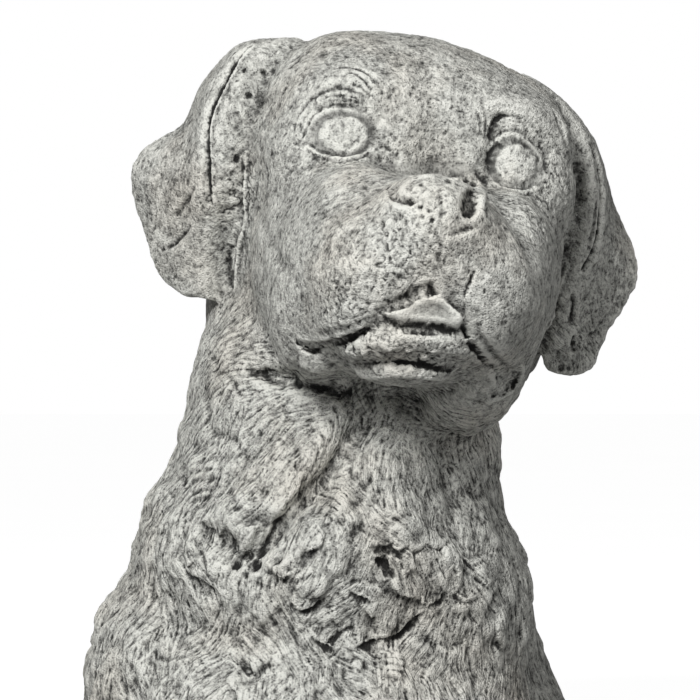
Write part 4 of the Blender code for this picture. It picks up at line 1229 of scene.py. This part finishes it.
def combed_height(places):
    """Hair strands from both layers of locks, each fading where its lock ends."""
    total, weights = 0.0, 0.0
    for layer in layers:
        index, inside = layer.nearest(places)
        across, down = layer.coordinates(places, index).T
        stroke = strands(smooth_noise(np.stack([across / HAIR_WIDTH, down / HAIR_LENGTH, across * 0], 1)))
        total = total + stroke * inside
        weights = weights + inside
    return total / weights


def rugged_share(places):
    """1 on the brows, lips, muzzle and ear panel, where the carving is lumpy, 0 on smooth parts."""
    lumpy = (
        (69.1, 199.5), (65.5, 181.8), (17.7, 171.2), (12.4, 160.6), (-1.8, 147.5), (3.5, 134), (17.7, 134),
        (28.3, 130.5), (-41.8, 188.9),
    )
    share = np.zeros(len(places))
    for middle in clay.front(lumpy):
        share = np.maximum(share, bell(np.linalg.norm(places - middle, axis=1) / 12))
    return share


head = share_on_head(clay.places)


def by_part(on_head, on_body):
    return on_head * head + on_body * (1 - head)


def cracked(noise, level):
    """Rounded lumps with narrow cracks between them, from a noise about zero."""
    return np.minimum(np.abs(noise) * 2.6, 1) - level


# %% Add up the small heights
front = ((70 - clay.places[:, 1]) / 30).clip(0, 1)
rugged = rugged_share(clay.places)
even = 1 - 0.8 * smoothness
comb = combed_height(clay.places) * by_part(0.18, 0.60)
pits = smooth_noise(clay.places / 1.7, seed=3)
crackle = smooth_noise(clay.places / 2.6, seed=6) + 0.7 * smooth_noise(clay.places / 1.3, seed=8)
lumps = smooth_noise(clay.places / 4.5, seed=4)
swells = smooth_noise(clay.places / 10.0, seed=7)
clumps = smooth_noise(clay.places / 14.0, seed=9) + 0.3 * smooth_noise(clay.places / 5.0, seed=10)
crackle_share = 0.05 + 0.15 * head + 0.4 * rugged * head
amount = comb - 0.6 * (pits - 0.3).clip(0, 1) + crackle_share * cracked(crackle, 0.7)
amount = amount * (0.12 + 0.88 * front) * even + (0.30 + 0.25 * rugged) * lumps * even
amount += (swells * by_part(0.35, 0.9) + 0.8 * cracked(clumps, 0.75) * (1 - head)) * even
clay.places += clay.facing * amount[:, None]
clay.look_again()

# %% [markdown]
# ## Numbers for the stone's finish and its painted light
# The stone's colour is darkened in its hollows as painted shade and paled on its crests as painted
# highlight. So each vertex keeps a number for how far it stands above its surroundings. It is the gap
# between the surface and a smoothed copy of it, on a fine and on a broad scale. How smooth the carving
# left a place, how far it is painted pale as rubbed stone and painted highlight, and how clearly its
# hair is combed, are kept beside them.

# %% Crests and hollows
def standing(times):
    """How far each vertex stands above the surface as smoothed that many times."""
    smooth = relaxed(bust.data, clay.places, times)
    return ((clay.places - smooth) * clay.facing).sum(1)


# crest and swell paint highlight on crests and shade in hollows; the third number pales the eye discs as
# rubbed stone and paints a highlight on the tongue
store(bust.data, "crest", standing(3) / 0.12)
store(bust.data, "swell", standing(28) / 0.7)
store(bust.data, "rubbed_and_painted_highlight", rubbing_and_painted_highlight)
store(bust.data, "smooth", smoothness)
store(bust.data, "combed", 0.35 + 0.65 * (1 - share_on_head(clay.places)))
kept = [values.name for values in bust.data.attributes if values.domain == "POINT"]
print("kept at each vertex:", kept)

# %% [markdown]
# ## Fewer faces, a flat base and the right place
# The skin has far more faces than it needs where it is plain, so Decimate takes out those that
# matter least. Crumbs that the remesh left loose are taken away, because a casting has none. Then
# the bust is cut off flat at the level it stands on, the cut is closed, and the whole is moved and
# scaled from carving units to the frame's metres.

# %% Fewer faces
MOST_TRIANGLES = 197000


def lighten(piece, triangles):
    """Brings a mesh of four-sided faces down to that many triangles."""
    fewer = piece.modifiers.new("fewer", "DECIMATE")
    fewer.ratio = triangles / (2 * len(piece.data.polygons))
    fewer.use_collapse_triangulate = True
    apply_modifiers(piece)


# %% Find the crumbs
def crumbs(bm):
    """The vertices of every loose bit that the remesh left beside the bust or sealed inside it."""
    waiting = set(bm.verts)
    bodies = []
    while waiting:
        body = {waiting.pop()}
        rim = list(body)
        while rim:
            for edge in rim.pop().link_edges:
                found = [vert for vert in edge.verts if vert not in body]
                body.update(found)
                rim.extend(found)
        waiting -= body
        bodies.append(body)
    bodies.sort(key=len)
    print("loose bits taken away:", len(bodies) - 1)
    return sorted((vert for body in bodies[:-1] for vert in body), key=lambda vert: vert.index)


# %% Cut and place the bust
def cut_flat(piece):
    bm = bmesh.new()
    bm.from_mesh(piece.data)
    bm.verts.index_update()
    bmesh.ops.delete(bm, geom=crumbs(bm), context="VERTS")
    everything = bm.verts[:] + bm.edges[:] + bm.faces[:]
    bmesh.ops.bisect_plane(bm, geom=everything, dist=1e-4, plane_co=(0, 0, 0), plane_no=(0, 0, 1),
                           clear_inner=True)
    bmesh.ops.holes_fill(bm, edges=[edge for edge in bm.edges if edge.is_boundary], sides=0)
    bmesh.ops.triangulate(bm, faces=[face for face in bm.faces if len(face.verts) > 4])
    bm.to_mesh(piece.data)
    bm.free()


# What lies under the cut isn't kept, so it doesn't count
share_below = (clay.places[:, 2] < -2).mean()
lighten(bust, MOST_TRIANGLES / (1 - share_below))
cut_flat(bust)
places = vertex_values(bust.data, "co")
middle = (places.min(0) + places.max(0)) / 2
frame_middle = np.array((bust_low + bust_high) / 2)
to_frame = np.array([frame_middle[0] - middle[0] * UNIT, frame_middle[1] - middle[1] * UNIT, 0])
set_vertices(bust.data, places * UNIT + to_frame)
print("finished skin:", len(bust.data.polygons), "faces, moved by", to_frame.round(5))

# %% [markdown]
# ## Where the hair lies on the finished skin
# The finest hair is too thin for the mesh, so the stone's material draws it as bump. It needs to
# know, at every place, which way is along the hair. Each face takes the lock it belongs to, and
# its corners get their place across and down that lock, kept as one UV map for each layer.

# %% UV maps of the hair
HAIR_MAPS = ("hair_one", "hair_two")


def face_values(mesh, name, size, kind):
    values = np.empty(len(mesh.polygons) * size, kind)
    mesh.polygons.foreach_get(name, values)
    return values.reshape(-1, size)


def hair_maps(piece):
    mesh = piece.data
    places = (vertex_values(mesh, "co") - to_frame) / UNIT
    corner = np.empty(len(mesh.loops), np.int32)
    mesh.loops.foreach_get("vertex_index", corner)
    sides = face_values(mesh, "loop_total", 1, np.int32).ravel()
    centres = (face_values(mesh, "center", 3, np.float32) - to_frame) / UNIT
    for layer, name in zip(layers, HAIR_MAPS):
        index, _ = layer.nearest(centres)
        spots = layer.coordinates(places[corner], np.repeat(index, sides))
        mesh.uv_layers.new(name=name).data.foreach_set("uv", spots.astype(np.float32).ravel())
        _, inside = layer.nearest(places)
        store(mesh, name + "_inside", inside)


hair_maps(bust)
bust.data.shade_smooth()
print("UV maps:", [layer.name for layer in bust.data.uv_layers])

# %% [markdown]
# ## The stone
# Cast stone is a matt grey, a little warm and green, and it has weathered. Its crests are painted
# nearly white as painted highlight and its hollows nearly black as painted shade, and the grain is
# sharp. The same heights drive the bump and the colour, so that each pale line is also a raised one
# with a painted highlight on it. Effects that are used more than once, at different sizes, are node groups.

# %% A group for one layer of fine hair
def socket(tree, name, kind, value=None, out=False):
    made = tree.interface.new_socket(name, in_out="OUTPUT" if out else "INPUT",
                                     socket_type="NodeSocket" + kind)
    if value is not None:
        made.default_value = value


def maths(tree, operation, *values, clamp=False):
    links = list(enumerate(values))
    return add_node(tree, "ShaderNodeMath", *links, operation=operation, use_clamp=clamp).outputs[0]


def fine_hair_group():
    tree = bpy.data.node_groups.new("Fine hair", "ShaderNodeTree")
    socket(tree, "Place", "Vector")
    socket(tree, "Width", "Float", 1.0)
    socket(tree, "Length", "Float", 6.0)
    socket(tree, "Height", "Float", out=True)
    given = tree.nodes.new("NodeGroupInput").outputs
    parts = add_node(tree, "ShaderNodeSeparateXYZ", ("Vector", given["Place"])).outputs
    across = maths(tree, "DIVIDE", parts["X"], given["Width"])
    down = maths(tree, "DIVIDE", parts["Y"], given["Length"])
    place = add_node(tree, "ShaderNodeCombineXYZ", ("X", across), ("Y", down)).outputs[0]
    noise = add_node(tree, "ShaderNodeTexNoise", ("Vector", place), ("Scale", 1.0), ("Detail", 1.0),
                     ("Roughness", 0.4), noise_dimensions="2D").outputs[0]
    from_groove = maths(tree, "ABSOLUTE", maths(tree, "SUBTRACT", noise, 0.5))
    strand = maths(tree, "MULTIPLY", from_groove, 8.0, clamp=True)
    add_node(tree, "NodeGroupOutput", ("Height", strand))
    return tree


# %% A group for grains and pits
def grain_group():
    tree = bpy.data.node_groups.new("Stone grain", "ShaderNodeTree")
    socket(tree, "Size", "Float", 0.001)
    socket(tree, "Pits", "Float", 0.5)
    socket(tree, "Height", "Float", out=True)
    given = tree.nodes.new("NodeGroupInput").outputs
    place = tree.nodes.new("ShaderNodeTexCoord").outputs["Object"]
    scale = maths(tree, "DIVIDE", 1.0, given["Size"])
    noise = add_node(tree, "ShaderNodeTexNoise", ("Vector", place), ("Scale", scale), ("Detail", 3.0),
                     ("Roughness", 0.65)).outputs[0]
    cells = add_node(tree, "ShaderNodeTexVoronoi", ("Vector", place), ("Scale", scale), feature="F1")
    hole = add_node(tree, "ShaderNodeMapRange", ("Value", cells.outputs["Distance"]), ("From Min", 0.0),
                    ("From Max", 0.45), ("To Min", 1.0), ("To Max", 0.0)).outputs[0]
    left = maths(tree, "SUBTRACT", noise, maths(tree, "MULTIPLY", hole, given["Pits"]))
    add_node(tree, "NodeGroupOutput", ("Height", left))
    return tree


# %% Short names for the stone's nodes
def attribute(tree, name):
    return add_node(tree, "ShaderNodeAttribute", attribute_name=name).outputs["Fac"]


def placed(tree, group, *links):
    return add_node(tree, "ShaderNodeGroup", *links, node_tree=group).outputs["Height"]


def blended(tree, share, first, second):
    return add_node(tree, "ShaderNodeMix", (0, share), (2, first), (3, second)).outputs[0]


def about_zero(tree, height, middle, amount):
    """The height taken from its middle value and made larger or smaller."""
    return maths(tree, "MULTIPLY", maths(tree, "SUBTRACT", height, middle), amount)


# %% [markdown]
# The bump is the sum of three heights: fine lines of hair from both UV maps, each faded out where
# its locks end, small grains and larger ones. It is weaker where the carving left the stone smooth,
# as on the tongue and the balls of the eyes.

# %% Small heights of the stone
HAIR_LINE = 1.3
HAIR_RUN = 8.0
# Sizes of the grains in metres, with how deep their pits are
FINE_GRAIN = (("Size", 0.0009), ("Pits", 0.5))
COARSE_GRAIN = (("Size", 0.0036), ("Pits", 0.3))


def hair_lines(tree):
    group = fine_hair_group()
    spots = [add_node(tree, "ShaderNodeUVMap", uv_map=name).outputs["UV"] for name in HAIR_MAPS]
    size = (("Width", HAIR_LINE), ("Length", HAIR_RUN))
    heights = [placed(tree, group, ("Place", spot), *size) for spot in spots]
    first, second = [attribute(tree, name + "_inside") for name in HAIR_MAPS]
    share = maths(tree, "DIVIDE", second, maths(tree, "ADD", first, second))
    lines = about_zero(tree, blended(tree, share, *heights), 0.66, 0.5)
    return maths(tree, "MULTIPLY", lines, attribute(tree, "combed"))


def small_heights(tree, grain):
    fine = about_zero(tree, placed(tree, grain, *FINE_GRAIN), 0.36, 1.1)
    coarse = about_zero(tree, placed(tree, grain, *COARSE_GRAIN), 0.40, 1.4)
    height = maths(tree, "ADD", maths(tree, "ADD", hair_lines(tree), fine), coarse)
    rough_share = maths(tree, "MULTIPLY_ADD", attribute(tree, "smooth"), -0.7, 1.0)
    return maths(tree, "MULTIPLY", height, rough_share)


# %% [markdown]
# How pale a place is adds up in the same way: the small heights, which paint raised grain pale and
# pits dark as painted highlight and painted shade, weathered patches, and the numbers that each
# vertex keeps, which paint crests pale and hollows dark and pale the eye discs and the tongue. A ramp
# turns it into tones of grey, with a few warmer stains.

# %% How pale the stone is
PATCH_GRAIN = (("Size", 0.011), ("Pits", 0.2))
# crest and swell paint highlight on crests and shade in hollows; the rubbed number paints the eye discs and
# the tongue pale, as rubbed stone and painted highlight
PALE_AND_PAINTED_LIGHT_BY = (("crest", 0.20), ("swell", 0.20), ("rubbed_and_painted_highlight", 0.14), ("smooth", -0.05))


def paleness_with_painted_light(tree, grain, height):
    patches = about_zero(tree, placed(tree, grain, *PATCH_GRAIN), 0.42, 0.65)
    # The bump heights also paint raised grain pale and pits dark: painted highlight and painted shade
    pale_with_painted_light = maths(tree, "ADD", maths(tree, "MULTIPLY_ADD", height, 0.6, 0.5), patches)
    for name, amount in PALE_AND_PAINTED_LIGHT_BY:
        pale_with_painted_light = maths(tree, "MULTIPLY_ADD", attribute(tree, name), amount, pale_with_painted_light)
    return pale_with_painted_light


# %% The stone's colour
STONE_TINT = (1.0, 1.0, 0.93, 1.0)
EARTH_TINT = (1.0, 0.94, 0.83, 1.0)
TONES = ((0.0, 0.02), (0.29, 0.095), (0.5, 0.25), (0.70, 0.42), (1.0, 0.68))
STAINS = (("Scale", 22.0), ("Detail", 4.0))


def stone_colour(tree, pale_with_painted_light):
    tones = add_node(tree, "ShaderNodeValToRGB", ("Fac", pale_with_painted_light))
    ramp = tones.color_ramp
    while len(ramp.elements) < len(TONES):
        ramp.elements.new(0.5)
    for element, (position, tone) in zip(ramp.elements, TONES):
        element.position = position
        element.color = (tone, tone, tone, 1)
    place = tree.nodes.new("ShaderNodeTexCoord").outputs["Object"]
    stain = add_node(tree, "ShaderNodeTexNoise", ("Vector", place), *STAINS).outputs[0]
    stained = add_node(tree, "ShaderNodeMapRange", ("Value", stain), ("From Min", 0.5), ("From Max", 0.8))
    tint = add_node(tree, "ShaderNodeMix", (0, stained.outputs[0]), (6, STONE_TINT), (7, EARTH_TINT),
                    data_type="RGBA").outputs[2]
    return add_node(tree, "ShaderNodeMix", (0, 1.0), (6, tones.outputs["Color"]), (7, tint),
                    data_type="RGBA", blend_type="MULTIPLY").outputs[2]


# %% Finish the bust in stone
BUMP_DEPTH = 0.0006


def finish_stone(material):
    material.use_nodes = True
    tree = material.node_tree
    shader = tree.nodes["Principled BSDF"]
    grain = grain_group()
    height = small_heights(tree, grain)
    bump = add_node(tree, "ShaderNodeBump", ("Strength", 0.9), ("Distance", BUMP_DEPTH), ("Height", height))
    pale_with_painted_light = paleness_with_painted_light(tree, grain, height)
    roughness = maths(tree, "MULTIPLY_ADD", pale_with_painted_light, -0.15, 0.97)
    tree.links.new(bump.outputs["Normal"], shader.inputs["Normal"])
    tree.links.new(stone_colour(tree, pale_with_painted_light), shader.inputs["Base Color"])
    tree.links.new(roughness, shader.inputs["Roughness"])
    shader.inputs["Specular IOR Level"].default_value = 0.3


finish_stone(stone)
bust.data.materials.clear()
bust.data.materials.append(stone)
print("the stone has", len(stone.node_tree.nodes), "nodes")

# %% [markdown]
# ## Floor, light and camera
# The photograph is a shop picture: a white room with soft light from the front left. The floor is
# a wide pale sheet, and the world is white to the camera but weaker as a light, so that the key
# light still shapes the stone.

# %% A pale floor
FLOOR_SIZE = 24.0
# A shop picture's floor is as white as the wall behind it, so the camera sees it glow
FLOOR_GLOW = 0.89


def make_floor():
    bm = bmesh.new()
    bmesh.ops.create_grid(bm, x_segments=8, y_segments=8, size=FLOOR_SIZE / 2)
    floor = new_object("floor", bm)
    material = bpy.data.materials.new("white_paper")
    material.use_nodes = True
    tree = material.node_tree
    shader = tree.nodes["Principled BSDF"]
    paper = add_node(tree, "ShaderNodeTexNoise", ("Scale", 90.0), ("Detail", 3.0)).outputs[0]
    level = add_node(tree, "ShaderNodeMapRange", ("Value", paper), ("To Min", 0.22), ("To Max", 0.26))
    tree.links.new(level.outputs[0], shader.inputs["Base Color"])
    shader.inputs["Roughness"].default_value = 0.9
    shader.inputs["Emission Color"].default_value = (1, 1, 1, 1)
    seen = tree.nodes.new("ShaderNodeLightPath").outputs["Is Camera Ray"]
    glow = maths(tree, "MULTIPLY", seen, FLOOR_GLOW)
    tree.links.new(glow, shader.inputs["Emission Strength"])
    floor.data.materials.append(material)
    return floor


floor = make_floor()
print("floor", FLOOR_SIZE, "m wide")

# %% Light
WORLD_LIGHT = 0.40
LIGHTS_AIM = Vector((0, 0, 0.14))


def make_world():
    world = bpy.data.worlds.new("white_room")
    bpy.context.scene.world = world
    world.use_nodes = True
    tree = world.node_tree
    seen = tree.nodes.new("ShaderNodeLightPath").outputs["Is Camera Ray"]
    way = tree.nodes.new("ShaderNodeTexCoord").outputs["Generated"]
    height = add_node(tree, "ShaderNodeSeparateXYZ", ("Vector", way)).outputs["Z"]
    overhead = add_node(tree, "ShaderNodeMapRange", ("Value", height), ("From Min", -0.1),
                        ("From Max", 0.8), ("To Min", 0.1 * WORLD_LIGHT),
                        ("To Max", WORLD_LIGHT)).outputs[0]
    strength = add_node(tree, "ShaderNodeMix", (0, seen), (2, overhead), (3, 1.0)).outputs[0]
    background = tree.nodes["Background"]
    background.inputs["Color"].default_value = (1, 1, 1, 1)
    tree.links.new(strength, background.inputs["Strength"])


def soft_light(name, place, power, size):
    light = bpy.data.lights.new(name, "AREA")
    light.energy = power
    light.size = size
    lamp = bpy.data.objects.new(name, light)
    lamp.location = place
    aim = LIGHTS_AIM - Vector(place)
    lamp.rotation_euler = aim.to_track_quat("-Z", "Y").to_euler()
    bpy.context.scene.collection.objects.link(lamp)


make_world()
soft_light("key_light", (-0.53, -1.34, 0.98), 29.5, 0.60)
soft_light("fill_light", (1.3, -1.2, 0.5), 4, 1.0)
bpy.context.scene.view_settings.view_transform = "Standard"
print("lights:", ", ".join(light.name for light in bpy.data.lights))

# %% Camera, as the photograph was taken
# In carving units: the camera's distance and height, and how wide a strip it sees at the bust
VIEW_DISTANCE = 2500
VIEW_HEIGHT = 134
VIEW_WIDTH = 252
SENSOR = 36
camera = bpy.data.objects.new("camera", bpy.data.cameras.new("camera"))
bpy.context.scene.collection.objects.link(camera)
bpy.context.scene.camera = camera
camera.location = np.array((0, -VIEW_DISTANCE, VIEW_HEIGHT)) * UNIT + to_frame
camera.rotation_euler = (math.pi / 2, 0, 0)
camera.data.sensor_width = SENSOR
camera.data.lens = SENSOR * VIEW_DISTANCE / VIEW_WIDTH
print("lens of", round(camera.data.lens), "mm, at", [round(value, 3) for value in camera.location])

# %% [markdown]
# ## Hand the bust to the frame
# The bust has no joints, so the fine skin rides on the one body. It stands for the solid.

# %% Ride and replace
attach(bust, "root")
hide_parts("dog_bust")
